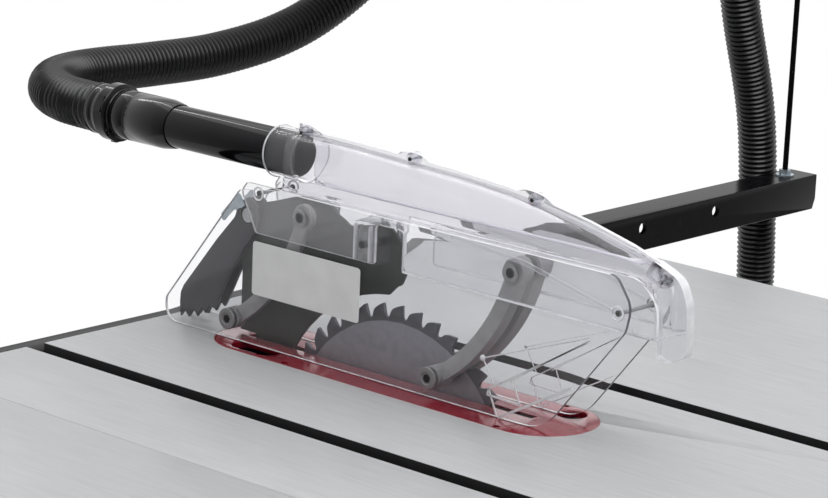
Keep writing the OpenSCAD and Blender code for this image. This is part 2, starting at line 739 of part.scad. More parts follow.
module arbor_bracket() color(steel) {
  saw_frame() difference() {
    union() {
      plate_yz(-30, -14, rounded([[-52, blade_z + 6, 4], [arbor_y, blade_z + 30, 20], [120, blade_z + 10, 20],
        [160, motor_z + 60, 15], [160, motor_z - 8, 8], [-26, motor_z - 8, 8],
        [-26, -165, 8], [-52, -145, 4]]));
      xrod(-58, -12, 26, arbor_y, blade_z);
      block([-66, -27], [-72 + part_gap, -45], [-140, -62]);
      for (y = [-14, 148], z = [motor_z + 43, motor_z + 14]) xrod(-90, -29, 8, y, z);
      translate([raise_x, raise_y, -140]) cylinder(r = 15, h = 40);
      block([-60, -27], [-50, -36], [-140, -100]);
    }
    block([-58 - part_gap, -34 + part_gap], [-80, -54 + part_gap], [-260, -20]);
    xrod(-60, -10, 12 + fit_gap, arbor_y, blade_z);
    translate([raise_x, raise_y, -150]) cylinder(r = 8 + fit_gap, h = 60);
  }
}
module motor() color(dark) {
  saw_frame() difference() {
    union() {
      block([-98, -90], [-26, 160], near(motor_z, -12, 56));
      xrod(-236, -97, motor_r, arbor_y, motor_z);
      for (x = [-226 : 14 : -110]) xrod(x, x + 6, motor_r + 4, arbor_y, motor_z);
      xrod(-242, -235, motor_r - 12, arbor_y, motor_z);
      block([-200, -140], near(arbor_y, 60, 100), near(motor_z, -30, 30));
    }
    xrod(-130, -80, 9.5 + fit_gap, arbor_y, motor_z);
  }
}
module motor_pulley() color(steel) {
  saw_frame() {
    xrod(-80, -62, motor_pulley_r, arbor_y, motor_z);
    xrod(-128, -61, 9.5, arbor_y, motor_z);
  }
}

// Belt outline round both pulleys, thick millimetres outside them
function belt_line(thick) = let(
    ra = arbor_pulley_r + thick,
    rm = motor_pulley_r + thick,
    a = asin((rm - ra) / (blade_z - motor_z)))
  concat(shift(arc(ra, a, 180 - a, 24), [arbor_y, blade_z]),
    shift(arc(rm, 180 - a, 360 + a, 24), [arbor_y, motor_z]));
module drive_belt() color(black) {
  saw_frame() difference() {
    plate_yz(-78, -64, belt_line(part_gap + 4));
    plate_yz(-79, -63, belt_line(part_gap + 0.1));
  }
}

module arbor_shaft() color(steel) {
  saw_frame() {
    xrod(-84, -12 + part_gap, 12, arbor_y, blade_z);
    xrod(-12 + part_gap, -blade_t / 2, 26, arbor_y, blade_z);
    xrod(-80, -62, arbor_pulley_r, arbor_y, blade_z);
    xrod(-blade_t / 2 - 1, 26, arbor_r, arbor_y, blade_z);
  }
}
tooth = 360 / teeth;
module blade() color(steel) {
  tooth_pts = [for (i = [0 : teeth - 1]) each [
    blade_r * [cos(i * tooth), sin(i * tooth)],
    (blade_r - 2.5) * [cos((i + 0.36) * tooth), sin((i + 0.36) * tooth)],
    (blade_r - 8) * [cos((i + 0.52) * tooth), sin((i + 0.52) * tooth)],
    (blade_r - 12) * [cos((i + 0.72) * tooth), sin((i + 0.72) * tooth)],
    (blade_r - 10) * [cos((i + 0.88) * tooth), sin((i + 0.88) * tooth)]]];
  guard_frame() translate([0, 0, blade_z]) difference() {
    plate_yz(-blade_t / 2, blade_t / 2, [for (p = tooth_pts) [-p.x, p.y]]);
    xrod(-5, 5, arbor_r + fit_gap);
  }
}
module arbor_nut() color(steel) {
  guard_frame() translate([0, 0, blade_z]) difference() {
    union() {
      xrod(blade_t / 2, 5, 24);
      translate([5, 0, 0]) rotate([0, 90, 0]) hex_z(0, 11, 24);
    }
    xrod(0, 20, arbor_r + fit_gap);
  }
}

// Spreader

module riving_knife() color(dark) {
  tang = 160;
  edge = [for (a = [0 : 6 : 84]) [134 * cos(a), blade_z + 134 * sin(a)]];
  outline = concat([[tang, -128], [tang, 2.5], [178, 2.5]],
    rounded([[178, 60, 0], [178, 108, 10], [111.5, 127.6, 12], [79, 125, 10], [60.5, 112.7, 6], [32, 119, 4],
      [14, 119, 5], [3, 109, 8], [2, 93, 8], [-3, 85, 4], [2, 74, 6]]),
    [for (p = back(edge)) if (p.x > 12) p], [[134, -128]]);
  guard_frame() difference() {
    plate_yz(-knife_t / 2, knife_t / 2, outline);
    xrod(-5, 5, 4 + fit_gap, pawl_pivot.x, pawl_pivot.y);
    xrod(-5, 5, 3 + fit_gap, latch_pin.x, latch_pin.y);
    for (z = [-110, -75]) xrod(-5, 5, 4 + fit_gap, 216 - arbor_y, z);
  }
}
module knife_clamp() color(steel) {
  saw_frame() {
    difference() {
      block([knife_t / 2, 9], [206, 229], [-124, -58]);
      for (z = [-110, -75]) xrod(0, 10, 4 + fit_gap, 216, z);
    }
    for (z = [-110, -75]) {
      xrod(-25, 10, 4, 216, z);
      translate([9, 216, z]) rotate([0, 90, 0]) hex_z(0, 5, 13);
    }
  }
}

// Guard hood

ridge = [[116, 180], [60, 179], [10, 177], [-47, 175], [-103, 171], [-147, 165], [-184, 157], [-224, 149],
  [-255, 134]];
function lifted(pts, d) = [for (p = pts) p + [0, d]];
hood_screw_at = [[112, 181], [-6, 180], [-131, 170], [-257, 131]];
spacer_at = [[143.8, 127], [-230, 104.5]];
module hood_half(s) {
  wall_line = rounded([
    [146.4, 93.6, 4], [164, 126.5, 6], [158, 136, 4], [116, 136, 0], [-225, 136, 20], [-248, 124, 12],
    [-250, 104, 12], [-238, 90.3, 6], [-15.5, 92.4, 3], [-15.5, 126, 4], [14, 126, 4], [14, 93.2, 3]]);
  cap = [[116, 134], [-225, 134], [-246, 124], [-255, 131]];
  guard_frame() sided(s) difference() {
    union() {
      plate_yz(hood_in, hood_in + hood_t, wall_line);
      // Shoulder, duct side and duct top
      plate_yz(12, hood_in + hood_t, concat([[116, 136.2], [116, 133.5], [-225, 133.5], [-245, 121]],
        [[-248, 123], [-226, 136.2]]));
      plate_yz(12, 14.5, concat(cap, back(lifted(ridge, -1))));
      plate_yz(0, 14.5, concat(ridge, back(lifted(ridge, -2.5))));
      // Front wall
      plate_yz(0, hood_in + hood_t, [
        [-245, 121], [-255, 131], [-258, 128], [-253, 104], [-236, 88], [-234, 90],
        [-249.5, 106]]);
      // Flange along the ridge and the front
      plate_yz(0, 2, concat(lifted(ridge, 6), [
        [-269, 136.6], [-279.6, 124], [-282, 100], [-281, 79], [-266, 70.5], [-256, 72],
        [-252.5, 107], [-252, 124]], back(lifted(ridge, -4))));
      for (p = hood_screw_at) xrod(0, 6, 5.5, p.x, p.y);
      // Port for the dust tube
      difference() {
        union() {
          yrod(108, 140, tube_r + 3, 0, tube_z);
          yrod(108, 111, tube_r + 3.6, 0, tube_z);
          yrod(137, 140, tube_r + 3.6, 0, tube_z);
        }
        block([-40, 0], [100, 170], [100, 200]);
      }
      plate_yz(12, hood_in + 1, [[113, 134], [118, 134], [118, 160], [113, 160]]);
    }
    yrod(100, 170, tube_r + fit_gap, 0, tube_z);
    for (p = hood_screw_at) {
      xrod(-1, 10, 2 + fit_gap, p.x, p.y);
      xrod(6, 20, 4 + part_gap, p.x, p.y);
    }
    for (p = spacer_at) xrod(10, 30, 3 + fit_gap, p.x, p.y);
    for (p = [rear_pivot, front_pivot]) xrod(10, 30, pin_r + fit_gap, p.x, p.y);
    xrod(10, 30, 3 + fit_gap, latch_pin.x, latch_pin.y);
  }
}
module hood_left() color(clear) hood_half(-1);
module hood_right() color(clear) hood_half(1);

// Ridge screws, two spacers and the four pins that the link arms turn on
module guard_pins() color(dark) {
  guard_frame() {
    for (p = hood_screw_at) {
      xrod(-6, 6, 2, p.x, p.y);
      xrod(-8.5, -6, 4, p.x, p.y);
      xrod(6, 8.5, 4, p.x, p.y);
    }
    for (p = spacer_at) xrod(-hood_in - hood_t, hood_in + hood_t, 3, p.x, p.y);
    for (s = [-1, 1], p = [[rear_pivot, arm_in], [front_pivot, front_arm_in]]) sided(s) {
      xrod(p[1] - part_gap - 2, hood_in + hood_t + 0.8, pin_r, p[0].x, p[0].y);
      xrod(p[1] - part_gap - 2, p[1] - part_gap, pin_r + 3, p[0].x, p[0].y);
    }
  }
}
module guard_latch() color(clear) {
  guard_frame() {
    for (s = [-1, 1]) sided(s) difference() {
      block([knife_t / 2, hood_in], [15, 41], [91, 124]);
      xrod(0, 30, 3 + fit_gap, latch_pin.x, latch_pin.y);
    }
    xrod(-hood_in - hood_t - 1, hood_in + hood_t + 1, 3, latch_pin.x, latch_pin.y);
  }
}

// Link arms: the upper bore turns on the hood's pin, the lower pin carries the shield
arm_len = norm(arm_reach);
arm_curve = (arm_len * arm_len / 4 + arm_bow * arm_bow) / (2 * arm_bow);
arm_side = [arm_reach.y, -arm_reach.x] / arm_len;
arm_hub = arm_reach / 2 - arm_side * (arm_curve - arm_bow);
arm_a0 = atan2(-arm_hub.y, -arm_hub.x);
arm_a1 = atan2(arm_reach.y - arm_hub.y, arm_reach.x - arm_hub.x);
arm_sweep = (arm_a1 - arm_a0 + 540) % 360 - 180;
module link_arm(s, p, inner) {
  band = concat(arc(arm_curve + 6.5, arm_a0, arm_a0 + arm_sweep, 16),
    back(arc(arm_curve - 6.5, arm_a0, arm_a0 + arm_sweep, 16)));
  guard_frame() sided(s) translate([0, p.x, p.y]) {
    difference() {
      union() {
        plate_yz(inner, arm_out, shift(band, arm_hub));
        xrod(inner, arm_out, 10.5);
        xrod(inner, arm_out, 9, arm_reach.x, arm_reach.y);
      }
      xrod(inner - 1, arm_out + 1, pin_r + fit_gap);
    }
    xrod(arm_out - 0.5, shield_in - part_gap, 9, arm_reach.x, arm_reach.y);
    xrod(shield_in - 1, shield_out + 1, pin_r, arm_reach.x, arm_reach.y);
    xrod(shield_out + part_gap, shield_out + 2.3, 9, arm_reach.x, arm_reach.y);
  }
}
module left_front_arm() color(grey) link_arm(-1, front_pivot, front_arm_in);
module right_front_arm() color(grey) link_arm(1, front_pivot, front_arm_in);
module left_rear_arm() color(grey) link_arm(-1, rear_pivot, arm_in);
module right_rear_arm() color(grey) link_arm(1, rear_pivot, arm_in);

module shield(s) {
  low_front = front_pivot + arm_reach;
  low_rear = rear_pivot + arm_reach;
  line = rounded([
    [-168, 0.6, 40], [246, 0.6, 13], [246, 20, 10], [162, 128, 8], [120, 134, 6], [-230, 134, 12],
    [-245, 113, 18], [-241, 93, 16]]);
  guard_frame() sided(s) difference() {
    plate_yz(shield_in, shield_out, line);
    xrod(0, 60, pin_r + fit_gap, low_front.x, low_front.y);
    xrod(0, 60, pin_r + 0.35, low_rear.x, low_rear.y);
  }
}
module left_shield() color(clear) shield(-1);
module right_shield() color(clear) shield(1);

// Anti-kickback pawls, their pin and their springs

module pawl(s) {
  line = [[155, 97], [160, 88], [171, 73], [187, 49], [198, 26], [204, 15], [209, 18], [214, 9],
    [219, 13.5], [223.5, 4.5], [228.5, 9.5], [234, 2], [239, 7], [244, 1], [245, 12.5], [244.4, 21.6],
    [241, 28.4], [202.6, 76], [183, 98], [176.5, 113], [166, 118], [155, 111]];
  guard_frame() sided(s) difference() {
    union() {
      plate_yz(5, 8, line);
      xrod(5, 8, 12, pawl_pivot.x, pawl_pivot.y);
    }
    xrod(0, 20, 4 + fit_gap, pawl_pivot.x, pawl_pivot.y);
  }
}
module left_pawl() color(dark) pawl(-1);
module right_pawl() color(dark) pawl(1);
module pawl_pin() color(steel) {
  guard_frame() {
    xrod(-10, 10, 4, pawl_pivot.x, pawl_pivot.y);
    for (s = [-1, 1]) sided(s) {
      xrod(knife_t / 2, 5 - part_gap, 7, pawl_pivot.x, pawl_pivot.y);
      xrod(8 + part_gap, 10, 6, pawl_pivot.x, pawl_pivot.y);
    }
  }
}
module pawl_spring() color(zinc) {
  guard_frame() for (s = [-1, 1]) sided(s) {
    difference() {
      xrod(8 + part_gap, 10.4, 9, pawl_pivot.x, pawl_pivot.y);
      xrod(8, 11, 6, pawl_pivot.x, pawl_pivot.y);
    }
    plate_yz(8 + part_gap, 10.4, [[171, 108], [190, 92], [193, 95], [174, 113]]);
  }
}

// Dust tube and its cuffs

module dust_tube() color(black) {
  guard_frame() difference() {
    yrod(117, 285, tube_r, 0, tube_z);
    yrod(116, 286, tube_r - tube_wall, 0, tube_z);
  }
}
module tube_cuff() color(dark) {
  guard_frame() difference() {
    yrod(260, 326, tube_r + 3.3, 0, tube_z);
    yrod(259, 286, tube_r + fit_gap, 0, tube_z);
    yrod(285, 327, tube_r - tube_wall, 0, tube_z);
  }
}
module hose_cuff() color(dark) {
  guard_frame() difference() {
    union() {
      yrod(326, 359, hose_r + 1.5, 0, tube_z);
      yrod(330, 341, hose_r + 4.5, 0, tube_z);
    }
    yrod(325, 360, tube_r - tube_wall, 0, tube_z);
  }
}

plinth();
cabinet_shell();
dust_port();
main_table();
left_wing();
right_wing();
frame_bolts();
table_insert();
insert_screws();
rear_rail();
front_rail();
fence_tube();
tube_caps();
support_rod();
hose_hook();
hose();
hose_port();
hose_end_cuff();
motor_door();
door_hinges();
switch_box();
start_button();
stop_paddle();
cable_gland();
front_trunnion();
rear_trunnion();
cradle_frame();
tilt_wheel();
tilt_knob();
tilt_shaft();
raise_wheel();
raise_knob();
raise_shaft();
raise_screw();
arbor_bracket();
motor();
motor_pulley();
drive_belt();
arbor_shaft();
blade();
arbor_nut();
riving_knife();
knife_clamp();
hood_left();
hood_right();
guard_pins();
guard_latch();
left_front_arm();
right_front_arm();
left_rear_arm();
right_rear_arm();
left_shield();
right_shield();
left_pawl();
right_pawl();
pawl_pin();
pawl_spring();
dust_tube();
tube_cuff();
hose_cuff();
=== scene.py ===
import json
import math

import bmesh
import bpy
from mathutils import Matrix, Vector


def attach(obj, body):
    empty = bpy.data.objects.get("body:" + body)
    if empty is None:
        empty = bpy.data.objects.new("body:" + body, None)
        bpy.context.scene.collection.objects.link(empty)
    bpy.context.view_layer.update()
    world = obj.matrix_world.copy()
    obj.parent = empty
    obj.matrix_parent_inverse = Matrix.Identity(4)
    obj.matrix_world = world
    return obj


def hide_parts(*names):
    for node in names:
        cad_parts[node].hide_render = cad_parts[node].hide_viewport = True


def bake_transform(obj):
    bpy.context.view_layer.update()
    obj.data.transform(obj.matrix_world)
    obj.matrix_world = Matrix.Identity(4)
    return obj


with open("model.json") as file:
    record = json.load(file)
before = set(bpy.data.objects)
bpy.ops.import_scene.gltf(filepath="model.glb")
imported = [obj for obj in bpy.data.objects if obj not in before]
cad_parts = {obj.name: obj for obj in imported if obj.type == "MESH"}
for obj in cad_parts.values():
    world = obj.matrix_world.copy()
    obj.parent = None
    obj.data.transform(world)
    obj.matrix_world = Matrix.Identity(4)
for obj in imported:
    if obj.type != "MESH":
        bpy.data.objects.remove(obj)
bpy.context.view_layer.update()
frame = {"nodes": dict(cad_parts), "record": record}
record = frame["record"]
BODY_OF = {n: b for b, nodes in record["behaviour"]["bodies"].items() for n in nodes}
SLOT_OF = {s["node"]: s["material_slot"] for s in record["subparts"]}

# The guard is measured in millimetres from the blade's plane, the arbor's place and the table top
BLADE_X, ARBOR_Y, TABLE_Z = 24.0, 67.0, 864.0
# Heights from the table top of the arbor and of the dust tube's axis
ARBOR_Z, TUBE_Z = -68, 161


def mm(x, y, z):
    return Vector((x / 1000, y / 1000, z / 1000))


def guard(dx, dy, dz):
    return mm(BLADE_X + dx, ARBOR_Y + dy, TABLE_Z + dz)


# Camera at the photograph's viewpoint
PICTURE_WIDTH = 828
FOCAL_PX = 2983.83
SENSOR_MM = 36
PITCH, YAW, ROLL = (math.radians(a) for a in (13.8139, 41.4413, 2.4384))
VIEWPOINT = (-1.6893, -1.4550, 1.5333)


def add_camera():
    ahead = Vector((math.cos(YAW) * math.cos(PITCH), math.sin(YAW) * math.cos(PITCH), -math.sin(PITCH)))
    level = Vector((math.sin(YAW), -math.cos(YAW), 0))
    above = level.cross(ahead)
    right = level * math.cos(ROLL) + above * math.sin(ROLL)
    up = above * math.cos(ROLL) - level * math.sin(ROLL)
    data = bpy.data.cameras.new("camera")
    data.sensor_width = SENSOR_MM
    data.lens = FOCAL_PX * SENSOR_MM / PICTURE_WIDTH
    data.clip_end = 50
    cam = bpy.data.objects.new("camera", data)
    turn = Matrix((right, up, -ahead)).transposed().to_4x4()
    cam.matrix_world = Matrix.Translation(VIEWPOINT) @ turn
    bpy.context.scene.collection.objects.link(cam)
    bpy.context.scene.camera = cam


add_camera()


# Materials

RELIEF_DEPTH = 0.0004


def srgb(code):
    parts = [int(code[i:i + 2], 16) / 255 for i in (0, 2, 4)]
    return tuple(c / 12.92 if c <= 0.04045 else ((c + 0.055) / 1.055) ** 2.4 for c in parts) + (1.0,)


def add(tree, kind, links=(), **values):
    """Adds one shader node, sets its sockets and properties, and links inputs from (socket, output) pairs."""
    node = tree.nodes.new(kind)
    for key, value in values.items():
        if hasattr(node, key):
            setattr(node, key, value)
        else:
            node.inputs[key.replace("_", " ")].default_value = value
    for name, output in links:
        tree.links.new(output, node.inputs[name])
    return node


def material(name, low, high, rough, metal, grain, relief=0.0, relief_mm=1.1, **shader):
    """A surface that drifts between two tones; grain is the drift's size in millimetres along x, y and z,
    and relief_mm the size of the bumps along x. Roughness follows the grain."""
    mat = bpy.data.materials.new(name)
    mat.use_nodes = True
    tree = mat.node_tree
    face = tree.nodes["Principled BSDF"]
    place = add(tree, "ShaderNodeTexCoord")
    scaled = add(tree, "ShaderNodeMapping", [("Vector", place.outputs["Object"])],
                 Scale=tuple(1000 / size for size in grain))
    noise = add(tree, "ShaderNodeTexNoise", [("Vector", scaled.outputs["Vector"])], Scale=1.0, Detail=5.0)
    ramp = add(tree, "ShaderNodeValToRGB", [("Fac", noise.outputs["Fac"])])
    for stop, position, tone in zip(ramp.color_ramp.elements, (0.3, 0.7), (low, high)):
        stop.position = position
        stop.color = srgb(tone)
    tree.links.new(ramp.outputs["Color"], face.inputs["Base Color"])
    sheen = add(tree, "ShaderNodeMapRange", [("Value", noise.outputs["Fac"])],
                To_Min=rough[0], To_Max=rough[1])
    tree.links.new(sheen.outputs["Result"], face.inputs["Roughness"])
    if relief:
        fine = add(tree, "ShaderNodeTexNoise", [("Vector", scaled.outputs["Vector"])],
                   Scale=grain[0] / relief_mm, Detail=3.0)
        bumps = add(tree, "ShaderNodeBump", [("Height", fine.outputs["Fac"])],
                    Strength=relief, Distance=RELIEF_DEPTH)
        tree.links.new(bumps.outputs["Normal"], face.inputs["Normal"])
    face.inputs["Metallic"].default_value = metal
    for key, value in shader.items():
        face.inputs[key.replace("_", " ")].default_value = value
    return mat


MATS = {
    # Surface-ground grey iron: a soft even sheen, with grinding lines along the table.
    # Real lines are under 0.1 mm apart, too fine to show, so they are drawn about 4 mm wide
    "cast_iron": material("ground grey cast iron", "A0A1A2", "AAABAC", (0.38, 0.46), 0.12, (3.7, 55, 8.3),
                          0.06, 0.28),
    # Painted shade: the faces in the mitre slots are near-black, dull iron that stands in for the shade
    # inside them
    "slot_shade_iron": material("cast iron with painted slot shade", "101012", "1A1A1C", (0.55, 0.7), 0.2, (12, 12, 12)),
    # Sprayed enamel on sheet steel: even and pale, with a slight orange peel of about 2 mm
    "pale_paint": material("sprayed pale enamel", "CCCBC5", "CFCEC8", (0.32, 0.38), 0.0, (17, 17, 17),
                           0.05, 2, Coat_Weight=0.2),
    # Baked powder coat on the rails: deep black, smooth, with sharp highlights
    "black_paint": material("baked black powder coat", "08080A", "0E0E10", (0.12, 0.16), 0.0, (8, 8, 8),
                            Specular_IOR_Level=0.05),
    # Brushed-on enamel over castings: satin, with the casting's texture just showing
    "dark_paint": material("brushed dark grey enamel", "26272A", "303136", (0.35, 0.48), 0.0, (17, 17, 17),
                           0.1),
    # Barrel-plated zinc: bluish and bright, a little cloudy
    "zinc_steel": material("zinc plated steel", "A9B4BC", "C3CCD2", (0.25, 0.4), 0.9, (7, 7, 7)),
    # Turned steel: bright, with tool marks drawn 2 mm wide because real ones are too fine to show
    "bright_steel": material("turned steel", "8A8C8F", "A5A7AA", (0.25, 0.38), 0.95, (11, 1.9, 1.9), 0.05),
    # Ground saw steel near the rim: grey and satin, darker than the plate
    "blade_steel": material("ground saw steel", "4C4C51", "58585D", (0.4, 0.52), 0.6, (20, 6.7, 6.7),
                            0.05, 1.3),
    # Polished plate nearer the arbor: lighter and smoother
    "blade_plate": material("polished saw steel", "7E7E84", "8A8A90", (0.34, 0.44), 0.6, (25, 6.3, 6.3),
                            0.04, 1.4),
    # Black oxide on steel: near black, slightly oily
    "black_steel": material("black oxide steel", "262825", "2F312E", (0.42, 0.55), 0.2, (14, 14, 14)),
    # Hardened, blued pawls: dark with a violet cast
    "pawl_steel": material("blued spring steel", "2B2930", "34323A", (0.38, 0.48), 0.3, (17, 17, 17)),
    # Unpainted sand castings: dull grey with a sand grain of about 3 mm
    "trunnion_iron": material("sand cast iron", "55575A", "66686B", (0.55, 0.7), 0.4, (22, 22, 22),
                              0.35, 2.9),
    # Metallic crimson powder coat under a clear coat: deep red that picks up a pale sheen
    "red_paint": material("crimson powder coat", "7E1626", "8E1C2E", (0.16, 0.26), 0.25, (17, 17, 17),
                          0.06, 1.4, Coat_Weight=0.35, Coat_Roughness=0.12),
    # Moulded nylon with glass fibre: mid grey and matt, with a fine moulded texture
    "grey_plastic": material("moulded glass-filled nylon", "7B7B7C", "8A8A8B", (0.5, 0.62), 0.0, (11, 11, 11),
                             0.12, 0.7),
    # Extruded tube: glossy black with one crisp highlight down its length
    "black_plastic": material("extruded gloss vinyl", "08080A", "0E0E11", (0.05, 0.09), 0.0, (25, 25, 25),
                              Specular_IOR_Level=0.35),
    # Moulded cuffs and knobs: black, a little less glossy than the tube
    "matt_black_plastic": material("moulded black ABS", "09090B", "111113", (0.1, 0.18), 0.0, (14, 14, 14),
                                   0.05, 0.8, Specular_IOR_Level=0.35),
    # Moulded switch parts: strong plain colours with a soft gloss
    "red_plastic": material("moulded red ABS", "A01418", "B01A1C", (0.25, 0.35), 0.0, (20, 20, 20)),
    "green_plastic": material("moulded green ABS", "1B6B38", "237A42", (0.25, 0.35), 0.0, (20, 20, 20)),
    # Thin polished sheet: hardly bends the view, a bright skin and a faint haze
    "clear_plastic": material("polished polycarbonate sheet", "FAFAFC", "FDFDFE", (0.02, 0.05), 0.0,
                              (50, 50, 50), Transmission_Weight=0.988, IOR=1.04,
                              Coat_Weight=0.35, Coat_Roughness=0.04),
    # Moulded hood walls: the same plastic, a little milkier
    "clear_hood": material("moulded polycarbonate", "F8F8FA", "FCFCFD", (0.03, 0.07), 0.0, (50, 50, 50),
                           Transmission_Weight=0.935, IOR=1.06, Coat_Weight=0.6, Coat_Roughness=0.05),
    # The duct is thicker: clear with a faint grey cast
    "clear_duct": material("moulded smoky polycarbonate", "EDECF0", "F1F0F4", (0.02, 0.05), 0.0, (50, 50, 50),
                           Transmission_Weight=0.975, IOR=1.06, Coat_Weight=0.6, Coat_Roughness=0.05),
    # Painted highlight: near-white rims, ribs and bosses on the clear pieces stand in for the light their
    # edges catch
    "painted_edge_highlight": material("polycarbonate edge with painted highlight", "E8E8EC", "FAFAFC", (0.15, 0.3), 0.0, (8, 8, 8),
                           Transmission_Weight=0.2, IOR=1.2),
    # Painted shade: the shields' front edges are a dark grey that stands in for the shade on them
    "painted_shade_edge": material("polycarbonate edge with painted shade", "5E5E64", "74747A", (0.2, 0.3), 0.0, (8, 8, 8),
                          Transmission_Weight=0.2, IOR=1.2),
    # Extruded corrugated hose: black, each rib with its own soft highlight
    "hose_rubber": material("extruded hose vinyl", "070708", "0E0E10", (0.26, 0.36), 0.0, (20, 20, 20),
                            0.05, 1.7),
    # Moulded drive belt: dull black, slightly dusty
    "belt_rubber": material("moulded belt rubber", "101011", "18181A", (0.6, 0.75), 0.0, (11, 11, 11),
                            0.2, 1.4),
    # Blank vinyl film: white, smooth, slightly glossy
    "white_plate": material("calendered white film", "E9E9E8", "F3F3F2", (0.3, 0.4), 0.0, (25, 25, 25)),
    # Sintered tips: a harder, darker grey than the plate
    "carbide": material("sintered carbide", "505056", "606066", (0.32, 0.44), 0.7, (6, 6, 6)),
    # Painted shade in screw sockets: a black, dull inlay stands in for the shade in a screw's recess, so it
    # reads as a hole
    "socket_painted_shade": material("painted socket shade", "050505", "0B0B0C", (0.6, 0.75), 0.0, (12, 12, 12)),
    # Matt floor paint: pale and even
    "floor_paint": material("rolled matt floor paint", "E8E8E6", "EAEAE8", (0.6, 0.7), 0.0, (125, 125, 125)),
}


# Mesh helpers: every piece is made in place, in metres

def new_object(bm, name, mats):
    """Turns a bmesh into an object with the named materials."""
    bmesh.ops.recalc_face_normals(bm, faces=bm.faces)
    mesh = bpy.data.meshes.new(name)
    bm.to_mesh(mesh)
    bm.free()
    for m in mats:
        mesh.materials.append(MATS[m])
    obj = bpy.data.objects.new(name, mesh)
    bpy.context.scene.collection.objects.link(obj)
    return obj


def finish_piece(bm, name, mats, body, replaces, smooth):
    """Turns a bmesh into a piece that rides on a body, if one is given; smooth is an angle in degrees."""
    obj = new_object(bm, name, mats)
    obj.data.shade_smooth()
    obj.data.set_sharp_from_angle(angle=math.radians(smooth))
    if body:
        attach(obj, body)
    if replaces:
        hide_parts(*replaces)
    return obj


def soften(bm, width, angle, segments=2, edges=None):
    """Bevels the edges of a bmesh that turn by more than an angle, by a width in millimetres,
    and leaves those shorter than two thirds of the width."""
    bm.normal_update()
    sharp = [e for e in (edges or bm.edges) if len(e.link_faces) == 2
             and e.calc_face_angle(0) > math.radians(angle) and e.calc_length() > width / 1500]
    bmesh.ops.bevel(bm, geom=sharp, offset=width / 1000, offset_type="OFFSET", affect="EDGES",
                    segments=segments, profile=0.5, material=-1, clamp_overlap=True)


def rounded(corners, steps=6):
    """Outline with rounded corners; each corner is (x, y, radius)."""
    out = []
    for i, (x, y, r) in enumerate(corners):
        q = Vector((x, y))
        if r <= 0:
            out.append(q)
            continue
        p = Vector(corners[i - 1][:2])
        s = Vector(corners[(i + 1) % len(corners)][:2])
        u, v = (p - q).normalized(), (s - q).normalized()
        half = u.angle(v) / 2
        hub = q + (u + v).normalized() * r / math.sin(half)
        a, b = q + u * r / math.tan(half) - hub, q + v * r / math.tan(half) - hub
        start = math.atan2(a.y, a.x)
        turn = (math.atan2(b.y, b.x) - start + 3 * math.pi) % (2 * math.pi) - math.pi
        out += [hub + r * Vector((math.cos(start + turn * k / steps), math.sin(start + turn * k / steps)))
                for k in range(steps + 1)]
    return out


def drawn_out(bm, face, vec, mat=0):
    """Draws a flat face out along a vector into a closed body; gives its two ends, then its rim."""
    new = bmesh.ops.extrude_face_region(bm, geom=[face])["geom"]
    moved = [v for v in new if isinstance(v, bmesh.types.BMVert)]
    bmesh.ops.translate(bm, verts=moved, vec=vec)
    ends = [face] + [f for f in new if isinstance(f, bmesh.types.BMFace)]
    rim = dict.fromkeys(f for v in moved for f in v.link_faces if f not in ends)
    for f in ends + list(rim):
        f.material_index = mat
    return ends + list(rim)


def plate(bm, outline, x0, x1, mat=0):
    """Adds a flat plate: an outline in the guard's side plane, drawn out from x0 to x1."""
    face = bm.faces.new([bm.verts.new(guard(x0, y, z)) for y, z in outline])
    return drawn_out(bm, face, mm(x1 - x0, 0, 0), mat)


def turned(bm, profile, origin, axis, sides, mat=0):
    """Adds a turned shape: (distance along the axis, radius) points in millimetres, spun round the axis."""
    axis = Vector(axis).normalized()
    side = axis.orthogonal().normalized()
    before = set(bm.faces)
    points = [bm.verts.new(origin + (axis * d + side * r) / 1000) for d, r in profile]
    lines = [bm.edges.new(pair) for pair in zip(points, points[1:])]
    bmesh.ops.spin(bm, geom=points + lines, cent=origin, axis=axis, dvec=(0, 0, 0), angle=2 * math.pi,
                   steps=sides, use_merge=True, use_duplicate=False)
    spun = dict.fromkeys(v for f in bm.faces if f not in before for v in f.verts)
    bmesh.ops.remove_doubles(bm, verts=list(spun), dist=1e-6)
    for f in bm.faces:
        if f not in before:
            f.material_index = mat


def bridged(bm, rings, mat):
    """Joins rings of vertices one after the other into a closed body."""
    loops = [[bm.edges.get((a, b)) or bm.edges.new((a, b)) for a, b in zip(ring, ring[1:] + ring[:1])]
             for ring in rings]
    faces = [bm.faces.new(rings[0]), bm.faces.new(rings[-1])]
    for a, b in zip(loops, loops[1:]):
        faces += bmesh.ops.bridge_loops(bm, edges=a + b)["faces"]
    for f in faces:
        f.material_index = mat


def tube(bm, points, radius, fineness, mat=0):
    """Adds a round tube along points; radius is a list in millimetres, used over and over,
    and fineness sets how many sides the tube has."""
    way = bpy.data.curves.new("way", "CURVE")
    way.dimensions = "3D"
    # Makes the radius of a point count in millimetres
    way.bevel_depth = 0.001
    way.bevel_resolution = fineness
    way.use_fill_caps = True
    line = way.splines.new("POLY")
    line.points.add(len(points) - 1)
    for i, (spot, p) in enumerate(zip(line.points, points)):
        spot.co = (*p, 1)
        spot.radius = radius[i % len(radius)]
    holder = bpy.data.objects.new("way", way)
    mesh = bpy.data.meshes.new_from_object(holder)
    before = len(bm.faces)
    bm.from_mesh(mesh)
    for f in bm.faces[before:]:
        f.material_index = mat
    bmesh.ops.remove_doubles(bm, verts=bm.verts, dist=1e-7)
    bpy.data.objects.remove(holder)
    bpy.data.curves.remove(way)
    bpy.data.meshes.remove(mesh)


